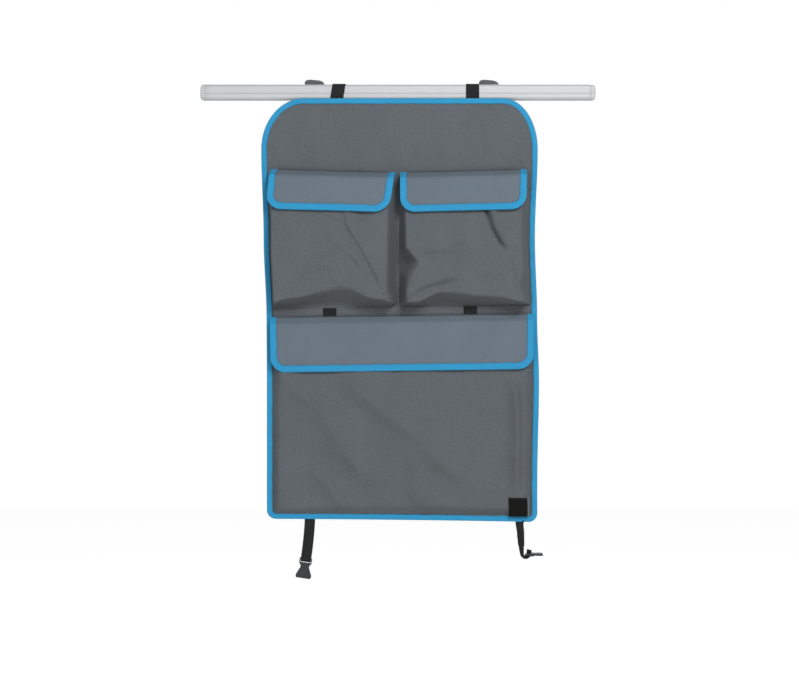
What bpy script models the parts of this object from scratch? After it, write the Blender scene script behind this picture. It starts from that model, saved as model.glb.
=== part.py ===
"""Tent organizer: a bound cloth panel with three flapped pockets, hung from a grooved rail by webbing loops.

Metres, +Z up, the front faces -Y. The origin lies on the rail's centre line, above the middle of the panel.
Every size is a named value below, and each piece takes its place from the piece that it is sewn to.
"""

import math

import bmesh
import bpy
from mathutils import Matrix, Vector
from mathutils.geometry import interpolate_bezier

# Clearances and cloth
GAP = 0.0003
POCKET_SEAT = 0.0009
TAPE_CLOTH = 0.0008
FLAP_CLOTH = 0.0010
POCKET_CLOTH = 0.0010
PANEL_CLOTH = 0.0016

# Rail: a flat aluminium tube with one groove along its front and a moulded cap in each end
RAIL_LENGTH = 0.752
RAIL_OFFSET = -0.003
RAIL_HEIGHT = 0.030
RAIL_DEPTH = 0.020
RAIL_CORNER = 0.006
RAIL_WALL = 0.0015
GROOVE_WIDTH = 0.0012
GROOVE_DEPTH = 0.0008
GROOVE_BELOW_CENTRE = 0.0025
CAP_LENGTH = 0.007
CAP_CORNER = 0.005
CAP_PLUG = 0.018
CAP_PLUG_WALL = 0.0016

# Webbing loops round the rail, and the cloth tabs behind it
LOOP_WEBBING = 0.025
LOOP_THICKNESS = 0.0014
LOOP_LEFT_X = -0.1175
LOOP_LEFT_SLANT = 0.168
LOOP_RIGHT_X = 0.139
LOOP_RIGHT_SLANT = 0.0
ANCHOR_TOP_BELOW_EDGE = 0.003
ANCHOR_LENGTH = 0.034
TAB_WIDTH = 0.037
TAB_THICKNESS = 0.002
TAB_LEFT_X = -0.1625
TAB_RIGHT_X = 0.1705
TAB_RISE = 0.0085
TAB_ROUNDING = 0.006
TAB_SLOPE = 0.003
TAB_BEND = 0.005

# Panel and its edge binding
PANEL_WIDTH = 0.523
PANEL_HEIGHT = 0.800
PANEL_TOP = -0.0135
PANEL_DROP_RIGHT = 0.004
TOP_CORNER_LEFT = 0.076
TOP_CORNER_RIGHT = 0.064
TOP_CORNER_HEIGHT = 0.095
BOTTOM_CORNER = 0.016
BINDING_WIDTH = 0.0095
BINDING_CLOTH = 0.0009
# How far the loaded cloth hangs inside its cut width: (share of the height, left edge, right edge)
SIDE_PULL = (
    (0.12, 0.0, 0.0),
    (0.33, 0.0045, 0.0053),
    (0.52, 0.0100, 0.0010),
    (0.67, 0.0107, -0.0025),
    (0.91, 0.0107, 0.0030),
)

# Top pockets. A gusset's width is how much of it shows from the front, as (share of the way down, width).
POCKET_INSET_LEFT = 0.0108
POCKET_INSET_RIGHT = 0.0108
MIDDLE_X = -0.003
MIDDLE_GAP = 0.005
TOP_SEAM_DROP = 0.138
MOUTH_BELOW_SEAM = 0.013
POCKET_HEIGHT = 0.2405
POCKET_MOUTH_DEPTH = 0.022
POCKET_BELLY_DEPTH = 0.046
POCKET_BELLY_DOWN = 0.75
POCKET_SOFTNESS = 0.10
LEFT_GUSSETS = (
    ((0.0, 0.004), (1.0, 0.004)),
    ((0.0, 0.018), (0.3, 0.016), (0.88, 0.017), (1.0, 0.009)),
)
RIGHT_GUSSETS = (
    ((0.0, 0.018), (0.25, 0.010), (0.5, 0.012), (0.66, 0.032), (0.8, 0.022), (1.0, 0.012)),
    ((0.0, 0.011), (0.74, 0.011), (0.84, 0.018), (1.0, 0.010)),
)
# How far the front's lower edge is drawn up above the seam, as (share of the way across, rise)
LEFT_FLOOR = ((0.0, 0.003), (0.14, 0.010), (0.58, 0.029), (0.82, 0.010), (1.0, 0.003))
RIGHT_FLOOR = ((0.0, 0.004), (0.12, 0.004), (0.32, 0.022), (0.68, 0.014), (1.0, 0.003))
# Main folds: (across, down, across, down) as shares from the left edge and the mouth, height, width
LEFT_FOLDS = (
    (0.59, 0.36, 0.91, 0.88, 0.006, 0.012),
    (0.48, 0.72, 0.60, 0.86, 0.004, 0.012),
)
RIGHT_FOLDS = (
    (0.66, 0.33, 0.82, 0.62, 0.005, 0.011),
    (0.14, 0.90, 0.40, 0.80, 0.005, 0.010),
)

# Large pocket
LARGE_SEAM_DROP = 0.4125
LARGE_MOUTH_BELOW_SEAM = 0.014
LARGE_MOUTH_DEPTH = 0.010
LARGE_BELLY_DEPTH = 0.014
LARGE_SOFTNESS = 0.16
LARGE_GUSSETS = (((0.0, 0.012), (1.0, 0.010)), ((0.0, 0.012), (1.0, 0.010)))
LARGE_FLOOR = ((0.0, 0.010), (0.5, 0.016), (1.0, 0.010))
LARGE_FOLDS = (
    (0.29, 0.35, 0.55, 0.70, 0.003, 0.022),
    (0.55, 0.30, 0.81, 0.65, 0.003, 0.026),
    (0.14, 0.55, 0.39, 0.90, 0.0025, 0.022),
)
# Between the edge binding and what is sewn inside it
INSIDE_BINDING = 0.0018

# Flaps: visible drop, how far the lower edge stands off the seam, the length of the bend over the mouth,
# how far the cloth dips in over the tapes and how far down, and the tilt of each seam in degrees
FLAP_DROP = 0.0755
FLAP_REACH = 0.0345
FLAP_BEND = 0.010
FLAP_DIP = 0.0055
FLAP_DIP_DOWN = 0.040
FLAP_CORNER = 0.027
FLAP_INSET_LEFT = 0.0152
FLAP_INSET_RIGHT = 0.0183
FLAP_MIDDLE_GAP = 0.0098
FLAP_TILT_LEFT = 1.5
FLAP_TILT_RIGHT = -1.4
# How far each side has drawn in at a flap's lower edge: (left, right)
LEFT_FLAP_TAPER = (-0.005, 0.011)
RIGHT_FLAP_TAPER = (-0.0015, 0.005)
LARGE_FLAP_TAPER = (0.001, 0.003)
LARGE_FLAP_DROP = 0.103
LARGE_FLAP_REACH = 0.0155
LARGE_FLAP_BEND = 0.006
LARGE_FLAP_DIP = 0.0035
LARGE_FLAP_DIP_DOWN = 0.055
LARGE_FLAP_CORNER = 0.028
LARGE_FLAP_INSET = 0.0062
LARGE_FLAP_TILT = -0.76
FLAP_BINDING_WIDTH = 0.012
FLAP_BINDING_STEP = 0.012
# How far the flap's cloth passes clear of the mouth that it covers
FLAP_OVER_MOUTH = 0.0016

# Hook and loop tapes, pocket hems, seam band, seam tabs and label
TAPE_HEIGHT = 0.020
TAPE_THICKNESS = 0.0012
TOP_TAPE_WIDTH = 0.120
LARGE_TAPE_WIDTH = 0.300
TAPE_BELOW_MOUTH = 0.016
HEM_HEIGHT = 0.012
SEAM_BAND_HEIGHT = 0.0225
SEAM_BAND_ABOVE = 0.0175
SEAM_TAB_WIDTH = 0.025
SEAM_TAB_HEIGHT = 0.0145
SEAM_TAB_CLOTH = 0.0009
SEAM_TAB_LIFT = 0.0024
SEAM_TAB_LEFT_X = -0.1325
SEAM_TAB_RIGHT_X = 0.1345
LABEL_WIDTH = 0.037
LABEL_HEIGHT = 0.033
LABEL_INSET = 0.0153
LABEL_CLOTH = 0.0008
LABEL_BELOW_EDGE = 0.0043
LABEL_SLANT = -0.03
HEM_SHY = 0.037
LARGE_HEM_SHY = 0.040

# Bottom straps
STRAP_WEBBING = 0.020
STRAP_THICKNESS = 0.0015
STRAP_LEFT_X = -0.1705
STRAP_RIGHT_X = 0.2276
STRAP_ANCHOR_LENGTH = 0.032
STRAP_PIVOT_BELOW_EDGE = 0.0012
STRAP_LEFT_LENGTH = 0.0715
STRAP_LEFT_LEAN = 0.0545
STRAP_LEFT_CURL = 0.697
STRAP_TAIL = 0.026
STRAP_RIGHT_LENGTH = 0.058
STRAP_RIGHT_SHIFT = 0.0085
STRAP_RIGHT_LOOP = 0.0045
STRAP_RIGHT_TAIL = 0.008
STRAP_TWIST_LENGTH = 0.050

# Side release buckle for the bottom straps
BUCKLE_BAR = 0.003
BUCKLE_SLOT = 0.0055
BUCKLE_EAR = 0.0016
BUCKLE_SIDE_PLAY = 0.0004
BUCKLE_SHOULDER = 0.0006
SOCKET_LENGTH = 0.030
SOCKET_WIDTH = 0.030
SOCKET_WAIST = 0.0145
SOCKET_THICKNESS = 0.0080
SOCKET_WALL = 0.0015
SOCKET_DEPTH = 0.024
PLUG_BASE = 0.007
PLUG_BASE_THICKNESS = 0.0064
PLUG_ARM = 0.0022
PLUG_ARM_LENGTH = 0.0175
PLUG_BARB = 0.0022
PLUG_TONGUE = 0.0036
PLUG_PLAY = 0.0004

# Places that follow from the sizes above
RAIL_FRONT = -RAIL_DEPTH / 2
LOOP_FRONT = RAIL_FRONT - GAP - LOOP_THICKNESS
PANEL_REAR = LOOP_FRONT - GAP - BINDING_CLOTH - GAP
PANEL_FRONT = PANEL_REAR - PANEL_CLOTH
BINDING_REAR = PANEL_REAR + GAP + BINDING_CLOTH
BINDING_FRONT = PANEL_FRONT - GAP - BINDING_CLOTH
PANEL_BOTTOM = PANEL_TOP - PANEL_HEIGHT
POCKET_REAR = PANEL_FRONT - POCKET_SEAT
FLAP_HALF_STACK = FLAP_CLOTH / 2 + GAP + TAPE_CLOTH
TOP_SEAM_Z = PANEL_TOP - TOP_SEAM_DROP
LARGE_SEAM_Z = PANEL_TOP - LARGE_SEAM_DROP
POCKET_TOP_Z = TOP_SEAM_Z - MOUTH_BELOW_SEAM
POCKET_BOTTOM_Z = POCKET_TOP_Z - POCKET_HEIGHT
LARGE_TOP_Z = LARGE_SEAM_Z - LARGE_MOUTH_BELOW_SEAM
LARGE_BOTTOM_Z = PANEL_BOTTOM + BINDING_WIDTH + INSIDE_BINDING
STRAP_Y = BINDING_REAR + GAP + STRAP_THICKNESS / 2
TOP_FLAP_Y = PANEL_FRONT - FLAP_HALF_STACK - 2 * GAP
LARGE_FLAP_Y = BINDING_FRONT - FLAP_HALF_STACK - GAP
BUCKLE_WIDTH = STRAP_WEBBING + 2 * (BUCKLE_SIDE_PLAY + BUCKLE_EAR)
BAR_REACH = BUCKLE_BAR * math.sqrt(0.5)

FACE_FRONT = Matrix.Rotation(math.pi / 2, 4, "X")
ALONG_X = Matrix(((0, 0, 1, 0), (1, 0, 0, 0), (0, 1, 0, 0), (0, 0, 0, 1)))

COLOURS = {
    "silver_tube": ((0.74, 0.75, 0.77), 0.35, 0.9),
    "grey_cap": ((0.70, 0.71, 0.72), 0.5, 0.0),
    "panel_cloth": ((0.12, 0.135, 0.145), 0.85, 0.0),
    "flap_cloth": ((0.16, 0.185, 0.21), 0.7, 0.0),
    "blue_tape": ((0.04, 0.32, 0.60), 0.6, 0.0),
    "black_webbing": ((0.022, 0.023, 0.023), 0.8, 0.0),
    "black_tape": ((0.03, 0.03, 0.03), 0.9, 0.0),
    "black_plastic": ((0.045, 0.05, 0.055), 0.45, 0.0),
}


def clear_scene():
    for obj in list(bpy.data.objects):
        bpy.data.objects.remove(obj, do_unlink=True)


def new_collection(name):
    made = bpy.data.collections.new(name)
    bpy.context.scene.collection.children.link(made)
    return made


def new_material(name):
    colour, roughness, metallic = COLOURS[name]
    material = bpy.data.materials.new(name)
    material.use_nodes = True
    shader = material.node_tree.nodes["Principled BSDF"]
    shader.inputs["Base Color"].default_value = (*colour, 1)
    shader.inputs["Roughness"].default_value = roughness
    shader.inputs["Metallic"].default_value = metallic
    return material


class Organizer:
    """Keeps the collection, the materials and the joint empties while the pieces are made."""

    def __init__(self):
        clear_scene()
        self.parts = new_collection("tent_organizer")
        self.cutters = new_collection("cutters")
        self.materials = {name: new_material(name) for name in COLOURS}

    def joint(self, name, place, parent=None):
        empty = bpy.data.objects.new(name, None)
        empty.empty_display_size = 0.02
        empty.location = place
        self.parts.objects.link(empty)
        bpy.context.view_layer.update()
        if parent:
            attach(empty, parent)
        return empty

    def add(self, obj, material, joint=None):
        if obj.name not in self.parts.objects:
            self.parts.objects.link(obj)
        obj.data.materials.clear()
        obj.data.materials.append(self.materials[material])
        bpy.context.view_layer.update()
        if joint:
            attach(obj, joint)
        return obj

    def cut(self, obj, cutter, operation="DIFFERENCE"):
        """A Boolean with a helper that stays out of the model."""
        if cutter.name not in self.cutters.objects:
            self.cutters.objects.link(cutter)
        cutter.hide_render = True
        cutter.display_type = "WIRE"
        boolean = obj.modifiers.new(cutter.name, "BOOLEAN")
        boolean.operation = operation
        boolean.solver = "EXACT"
        boolean.object = cutter


def attach(child, parent):
    """Parents without moving the child."""
    bpy.context.view_layer.update()
    child.parent = parent
    child.matrix_parent_inverse = parent.matrix_world.inverted()


def rounded(corners, steps=5):
    """Closed outline through (across, up, setback before, setback after), each corner a quarter ellipse."""
    points = []
    for i, (across, up, before, after) in enumerate(corners):
        here = Vector((across, up))
        if not before:
            points.append(here)
            continue
        back = (Vector(corners[i - 1][:2]) - here).normalized() * before
        ahead = (Vector(corners[(i + 1) % len(corners)][:2]) - here).normalized() * after
        for k in range(steps + 1):
            turn = math.pi / 2 * k / steps
            points.append(here + back * (1 - math.sin(turn)) + ahead * (1 - math.cos(turn)))
    return points


def rounded_box(width, height, corner, steps=4):
    """Outline of a rounded rectangle round the origin."""
    signs = ((-1, -1), (1, -1), (1, 1), (-1, 1))
    return rounded([(a * width / 2, b * height / 2, corner, corner) for a, b in signs], steps)


def plate(name, outlines, thickness, place):
    """A flat outline, the first of the list, with holes for the rest, as a filled curve of this thickness."""
    curve = bpy.data.curves.new(name, "CURVE")
    curve.dimensions = "2D"
    curve.fill_mode = "BOTH"
    curve.extrude = thickness / 2
    for outline in outlines:
        spline = curve.splines.new("POLY")
        spline.points.add(len(outline) - 1)
        for point, (across, up) in zip(spline.points, outline):
            point.co = (across, up, 0, 1)
        spline.use_cyclic_u = True
    obj = bpy.data.objects.new(name, curve)
    obj.matrix_world = place
    return obj


def as_mesh(obj):
    """The same shape as a welded mesh, so that it can be sheared or take a Boolean."""
    bpy.context.scene.collection.objects.link(obj)
    bpy.context.view_layer.update()
    graph = bpy.context.evaluated_depsgraph_get()
    mesh = bpy.data.meshes.new_from_object(obj.evaluated_get(graph))
    bm = bmesh.new()
    bm.from_mesh(mesh)
    bmesh.ops.remove_doubles(bm, verts=bm.verts, dist=1e-6)
    bmesh.ops.recalc_face_normals(bm, faces=bm.faces)
    bm.to_mesh(mesh)
    bm.free()
    name, place = obj.name, obj.matrix_world.copy()
    bpy.data.objects.remove(obj, do_unlink=True)
    made = bpy.data.objects.new(name, mesh)
    made.matrix_world = place
    return made


def box(name, low, high):
    """A plain box between two corners, used for cutters and small blocks."""
    bm = bmesh.new()
    bmesh.ops.create_cube(bm, size=1)
    low, high = Vector(low), Vector(high)
    size = high - low
    for vert in bm.verts:
        vert.co = Vector((vert.co.x * size.x, vert.co.y * size.y, vert.co.z * size.z)) + (low + high) / 2
    mesh = bpy.data.meshes.new(name)
    bm.to_mesh(mesh)
    bm.free()
    return bpy.data.objects.new(name, mesh)


def mesh_object(name, bm):
    mesh = bpy.data.meshes.new(name)
    bm.to_mesh(mesh)
    bm.free()
    return bpy.data.objects.new(name, mesh)


def face_out(bm):
    """Turns a closed mesh so that its faces point outwards."""
    bmesh.ops.recalc_face_normals(bm, faces=bm.faces)
    if bm.calc_volume(signed=True) < 0:
        bmesh.ops.reverse_faces(bm, faces=bm.faces)


def thicken(obj, thickness, offset):
    """Gives an open sheet its cloth: offset -1 keeps the sheet as the front face, 0 puts it in the middle."""
    solid = obj.modifiers.new("cloth", "SOLIDIFY")
    solid.thickness = thickness
    solid.offset = offset
    solid.use_even_offset = True
    return obj


def surface(name, across, down, place, thickness, offset=-1.0):
    """An open grid, place(u, v) over 0 to 1 both ways, with its faces to the front, given its cloth."""
    bm = bmesh.new()
    rows = [
        [bm.verts.new(place(i / across, j / down)) for i in range(across + 1)] for j in range(down + 1)
    ]
    for upper, lower in zip(rows, rows[1:]):
        for i in range(across):
            bm.faces.new((lower[i], lower[i + 1], upper[i + 1], upper[i]))
    return thicken(mesh_object(name, bm), thickness, offset)


def ribbon(name, centres, widths, thickness):
    """Webbing: a strip through these centre points, with half its width to each side along widths."""
    bm = bmesh.new()
    rows = [(bm.verts.new(c - w), bm.verts.new(c + w)) for c, w in zip(centres, widths)]
    for (a, b), (c, d) in zip(rows, rows[1:]):
        bm.faces.new((a, b, d, c))
    return thicken(mesh_object(name, bm), thickness, 0.0)


class Section:
    """The line that a flap follows from its seam, as (forward, down), measured along the cloth.

    It runs straight from the seam to the pocket's mouth and passes clear of it, bends down over it, dips
    in a little over the tapes and ends standing off by its reach.
    """

    def __init__(self, mouth, drop, reach, bend, dip, dip_down, steps=9):
        clear = FLAP_HALF_STACK + FLAP_OVER_MOUTH
        slope = math.atan2(mouth.y, mouth.x) - math.asin(clear / mouth.length)
        ahead = Vector((math.cos(slope), math.sin(slope)))
        turn = ahead * math.sqrt(mouth.length_squared - clear * clear)
        controls = [turn, turn + ahead * bend, Vector((reach - dip, dip_down)), Vector((reach, drop))]
        bent = interpolate_bezier(*(p.to_3d() for p in controls), steps + 1)
        self.points = [Vector((0, 0)), turn / 2, *(p.to_2d() for p in bent)]
        runs = [b - a for a, b in zip(self.points, self.points[1:])]
        self.lengths = [0.0]
        for run in runs:
            self.lengths.append(self.lengths[-1] + run.length)
        turned = [Vector((run.y, -run.x)).normalized() for run in runs]
        self.fronts = [(a + b).normalized() for a, b in zip(turned[:1] + turned, turned + turned[-1:])]

    @property
    def length(self):
        return self.lengths[-1]

    def down_to(self, down):
        """How far along the cloth it has come down this much."""
        return next(
            length + (down - a.y) * (b - a).length / (b.y - a.y)
            for length, a, b in zip(self.lengths, self.points, self.points[1:])
            if b.y >= down
        )

    def at(self, along):
        """(point, unit normal to the front) at this distance along the cloth, or past its end."""
        last = len(self.points) - 2
        index = next((i for i in range(last) if self.lengths[i + 1] >= along), last)
        share = (along - self.lengths[index]) / (self.lengths[index + 1] - self.lengths[index])
        point = self.points[index].lerp(self.points[index + 1], share)
        return point, self.fronts[index].lerp(self.fronts[index + 1], min(share, 1.0))


def drape(bm, section, seam, tilt):
    """Bends a flat piece, cut as (across, along, towards the front), over a section below a tilted seam."""
    turn = Matrix.Rotation(math.radians(tilt), 3, "Y")
    for vert in bm.verts:
        point, front = section.at(max(vert.co.y, 0.0))
        point = point + front * vert.co.z
        vert.co = seam + turn @ Vector((vert.co.x, -point.x, -point.y))


def cut_rows(bm, section):
    """Cuts a flat piece at each point of the section, so that it can bend there."""
    for along in section.lengths[1:-1]:
        geometry = bm.verts[:] + bm.edges[:] + bm.faces[:]
        bmesh.ops.bisect_plane(bm, geom=geometry, plane_co=(0, along, 0), plane_no=(0, 1, 0), dist=1e-6)


def draped_sheet(name, outline, section, seam, tilt, thickness, height=0.0, offset=0.0):
    """A flat outline (across, along) bent over a section, height above the middle of the flap's cloth."""
    bm = bmesh.new()
    bm.faces.new([bm.verts.new((across, along, height)) for across, along in outline])
    cut_rows(bm, section)
    bmesh.ops.recalc_face_normals(bm, faces=bm.faces)
    # Draping mirrors the piece, so its faces point to the rear before it and to the front after it.
    if sum(face.normal.z for face in bm.faces) > 0:
        bmesh.ops.reverse_faces(bm, faces=bm.faces)
    drape(bm, section, seam, tilt)
    return thicken(mesh_object(name, bm), thickness, offset)


def fold_over(bm, path, closed, width, half_cloth, tape):
    """Binding: a C section folded over the edge that path follows, with the cloth to the left of its run."""
    inner, outer = half_cloth + GAP, half_cloth + GAP + tape
    profile = (
        (width, -outer), (-GAP - tape, -outer), (-GAP - tape, outer), (width, outer),
        (width, inner), (-GAP, inner), (-GAP, -inner), (width, -inner),
    )
    count = len(path)
    rings = []
    for i, here in enumerate(path):
        ahead = path[(i + 1) % count] if closed or i < count - 1 else None
        behind = path[i - 1] if closed or i > 0 else None
        first = (here - behind).normalized() if behind is not None else (ahead - here).normalized()
        second = (ahead - here).normalized() if ahead is not None else first
        run = (first + second).normalized()
        left = Vector((-run.y, run.x)) / max(run.dot(first), 0.5)
        rings.append([bm.verts.new((*(here + left * depth), rise)) for depth, rise in profile])
    pairs = list(zip(rings, rings[1:])) + ([(rings[-1], rings[0])] if closed else [])
    for a, b in pairs:
        for k in range(len(profile)):
            m = (k + 1) % len(profile)
            bm.faces.new((a[k], a[m], b[m], b[k]))
    if not closed:
        bm.faces.new(rings[0])
        bm.faces.new(list(reversed(rings[-1])))
    face_out(bm)


def with_steps(path, longest):
    """The same open path with its long straight runs divided."""
    points = [path[0]]
    for a, b in zip(path, path[1:]):
        parts = max(1, math.ceil((b - a).length / longest))
        points += [a.lerp(b, k / parts) for k in range(1, parts + 1)]
    return points


def smooth(t):
    t = min(max(t, 0.0), 1.0)
    return t * t * (3 - 2 * t)


def side_x(side, z):
    """The panel's cut edge at this height, pulled in by the load: side is -1 on the left and 1 on the right."""
    share = (PANEL_TOP - z) / PANEL_HEIGHT
    column = 1 if side < 0 else 2
    pull = SIDE_PULL[0][column] if share <= SIDE_PULL[0][0] else SIDE_PULL[-1][column]
    for upper, lower in zip(SIDE_PULL, SIDE_PULL[1:]):
        if upper[0] < share < lower[0]:
            mix = smooth((share - upper[0]) / (lower[0] - upper[0]))
            pull = upper[column] + (lower[column] - upper[column]) * mix
    return side * (PANEL_WIDTH / 2 - pull)


def bottom_edge_z(x):
    """The panel's lower cut edge at this place across: it hangs a little lower on the right."""
    left, right = side_x(-1, PANEL_BOTTOM), side_x(1, PANEL_BOTTOM)
    return PANEL_BOTTOM - PANEL_DROP_RIGHT * (x - left) / (right - left)


def strap_pivot_z(x):
    """Where a bottom strap bends, just below the panel's bound edge."""
    return bottom_edge_z(x) - BINDING_CLOTH - GAP - STRAP_PIVOT_BELOW_EDGE


def large_side_x(side, z):
    """The large pocket's sewn edge: beside the binding, and round its inner corner at the bottom."""
    corner = BOTTOM_CORNER - BINDING_WIDTH
    rise = min(max(z - LARGE_BOTTOM_Z, 0.0), corner)
    drawn_in = corner - math.sqrt(corner**2 - (corner - rise) ** 2)
    return side_x(side, z) - side * (BINDING_WIDTH + INSIDE_BINDING + drawn_in)


def panel_outline(stations=9):
    """The panel's edge, anticlockwise seen from the front, with the cloth on its left."""
    low = PANEL_BOTTOM + BOTTOM_CORNER * 1.5
    high = PANEL_TOP - TOP_CORNER_HEIGHT * 1.1
    heights = [low + (high - low) * k / (stations - 1) for k in range(stations)]
    right = [(side_x(1, z), z, 0, 0) for z in heights]
    left = [(side_x(-1, z), z, 0, 0) for z in reversed(heights)]
    corner_left = (side_x(-1, PANEL_BOTTOM), PANEL_BOTTOM, BOTTOM_CORNER, BOTTOM_CORNER)
    corner_right = (side_x(1, PANEL_BOTTOM), PANEL_BOTTOM - PANEL_DROP_RIGHT, BOTTOM_CORNER, BOTTOM_CORNER)
    top_right = (side_x(1, PANEL_TOP), PANEL_TOP, TOP_CORNER_HEIGHT, TOP_CORNER_RIGHT)
    top_left = (side_x(-1, PANEL_TOP), PANEL_TOP, TOP_CORNER_LEFT, TOP_CORNER_HEIGHT)
    return rounded([corner_left, corner_right, *right, top_right, top_left, *left], steps=7)


def read_off(table, share):
    """A value that runs smoothly through a table of (share, value) pairs."""
    for (low, first), (high, second) in zip(table, table[1:]):
        if share <= high:
            return first + (second - first) * smooth((share - low) / (high - low))
    return table[-1][1]


def soft_least(values, softness):
    """The least of the values, with the change from one to the next rounded off."""
    return -softness * math.log(sum(math.exp(-value / softness) for value in values))


class Pocket:
    """A bellows pocket's cloth: a front that stands off the panel on slanting gussets and a drawn-up floor."""

    # Shares of the grid that the front takes, across and down: the rest is gusset and floor
    FRONT_ACROSS = 18 / 26
    FRONT_DOWN = 14 / 18

    def __init__(self, left, right, top, bottom, depths, gussets, floor, softness, folds=()):
        self.left, self.right, self.top, self.bottom = left, right, top, bottom
        self.mouth, self.belly, self.belly_down = depths
        self.gussets, self.floor, self.softness, self.folds = gussets, floor, softness, folds

    def down(self, z):
        return min(max((self.top - z) / (self.top - self.bottom), 0.0), 1.0)

    def fold(self, x, z):
        """Main folds: each is a rounded ridge along a line, fading at its ends."""
        total = 0.0
        left, wide, drop = self.left(self.top), self.right(self.top) - self.left(self.top), self.top - self.bottom
        for across1, down1, across2, down2, height, width in self.folds:
            start = Vector((left + across1 * wide, self.top - down1 * drop))
            run = Vector((left + across2 * wide, self.top - down2 * drop)) - start
            along = (Vector((x, z)) - start).dot(run) / run.length_squared
            off = (Vector((x, z)) - start - run * along).length / width
            ends = smooth((along + 0.25) / 0.4) * smooth((1.25 - along) / 0.4)
            total += height * math.exp(-off * off) * ends
        return total

    def depth(self, x, z):
        """How far the cloth stands off its seat at a point of the front view."""
        down, left, right = self.down(z), self.left(z), self.right(z)
        share = min(max((x - left) / (right - left), 0.0), 1.0)
        rises = (
            (x - left) / read_off(self.gussets[0], down),
            (right - x) / read_off(self.gussets[1], down),
            (z - self.bottom) / read_off(self.floor, share),
            1.0,
        )
        bulge = self.mouth + (self.belly - self.mouth) * smooth(down / self.belly_down)
        return (bulge + self.fold(x, z)) * max(soft_least(rises, self.softness), 0.0)

    def across(self, u, z):
        """Place across at this height: the grid's outer columns lie on the gussets."""
        left, right, down = self.left(z), self.right(z), self.down(z)
        near, far = left + read_off(self.gussets[0], down), right - read_off(self.gussets[1], down)
        side = (1 - self.FRONT_ACROSS) / 2
        if u < side:
            return left + (near - left) * u / side
        if u > 1 - side:
            return right - (right - far) * (1 - u) / side
        return near + (far - near) * (u - side) / self.FRONT_ACROSS

    def place(self, u, v):
        """A point of the surface, u across and v down: its lower rows lie on the floor."""
        share = (self.across(u, self.top + (self.bottom - self.top) * v) - self.left(self.top)) / (
            self.right(self.top) - self.left(self.top)
        )
        edge = self.bottom + read_off(self.floor, min(max(share, 0.0), 1.0))
        if v < self.FRONT_DOWN:
            z = self.top + (edge - self.top) * v / self.FRONT_DOWN
        else:
            z = edge + (self.bottom - edge) * (v - self.FRONT_DOWN) / (1 - self.FRONT_DOWN)
        x = self.across(u, z)
        return Vector((x, POCKET_REAR - self.depth(x, z), z))


def laid(name, pocket, left, right, top, bottom, height, thickness, across=10, down=3, slant=0.0):
    """A strip sewn on a pocket's front: it follows the front a little way off, with its cloth outwards."""

    def place(u, v):
        z = top + (bottom - top) * v
        x = left + (right - left) * u + slant * (z - bottom)
        return Vector((x, POCKET_REAR - pocket.depth(x, z) - height, z))

    return surface(name, across, down, place, thickness, 1.0)


def rail(model):
    """The tube is open from end to end, and its caps plug it."""
    half_groove = GROOVE_WIDTH / 2
    front = -RAIL_DEPTH / 2
    outline = rounded(
        [
            (front, -RAIL_HEIGHT / 2, RAIL_CORNER, RAIL_CORNER),
            (-front, -RAIL_HEIGHT / 2, RAIL_CORNER, RAIL_CORNER),
            (-front, RAIL_HEIGHT / 2, RAIL_CORNER, RAIL_CORNER),
            (front, RAIL_HEIGHT / 2, RAIL_CORNER, RAIL_CORNER),
            (front, -GROOVE_BELOW_CENTRE + half_groove, 0, 0),
            (front + GROOVE_DEPTH, -GROOVE_BELOW_CENTRE + half_groove * 0.6, 0, 0),
            (front + GROOVE_DEPTH, -GROOVE_BELOW_CENTRE - half_groove * 0.6, 0, 0),
            (front, -GROOVE_BELOW_CENTRE - half_groove, 0, 0),
        ]
    )
    bore_width, bore_height = RAIL_DEPTH - 2 * RAIL_WALL, RAIL_HEIGHT - 2 * RAIL_WALL
    # The groove is rolled in, so the wall behind it stands a little into the bore.
    bore = rounded_box(bore_width - GROOVE_DEPTH, bore_height, RAIL_CORNER - RAIL_WALL)
    bore = [point + Vector((GROOVE_DEPTH / 2, 0)) for point in bore]
    tube_length = RAIL_LENGTH - 2 * (CAP_LENGTH + GAP)
    place = Matrix.Translation((RAIL_OFFSET, 0, 0)) @ ALONG_X
    model.add(plate("hanging_rail", [outline, bore], tube_length, place), "silver_tube")
    for side, name in ((-1, "rail_cap_left"), (1, "rail_cap_right")):
        cap = rail_cap(model, name, outline, side)
        model.add(cap, "grey_cap")


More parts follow.
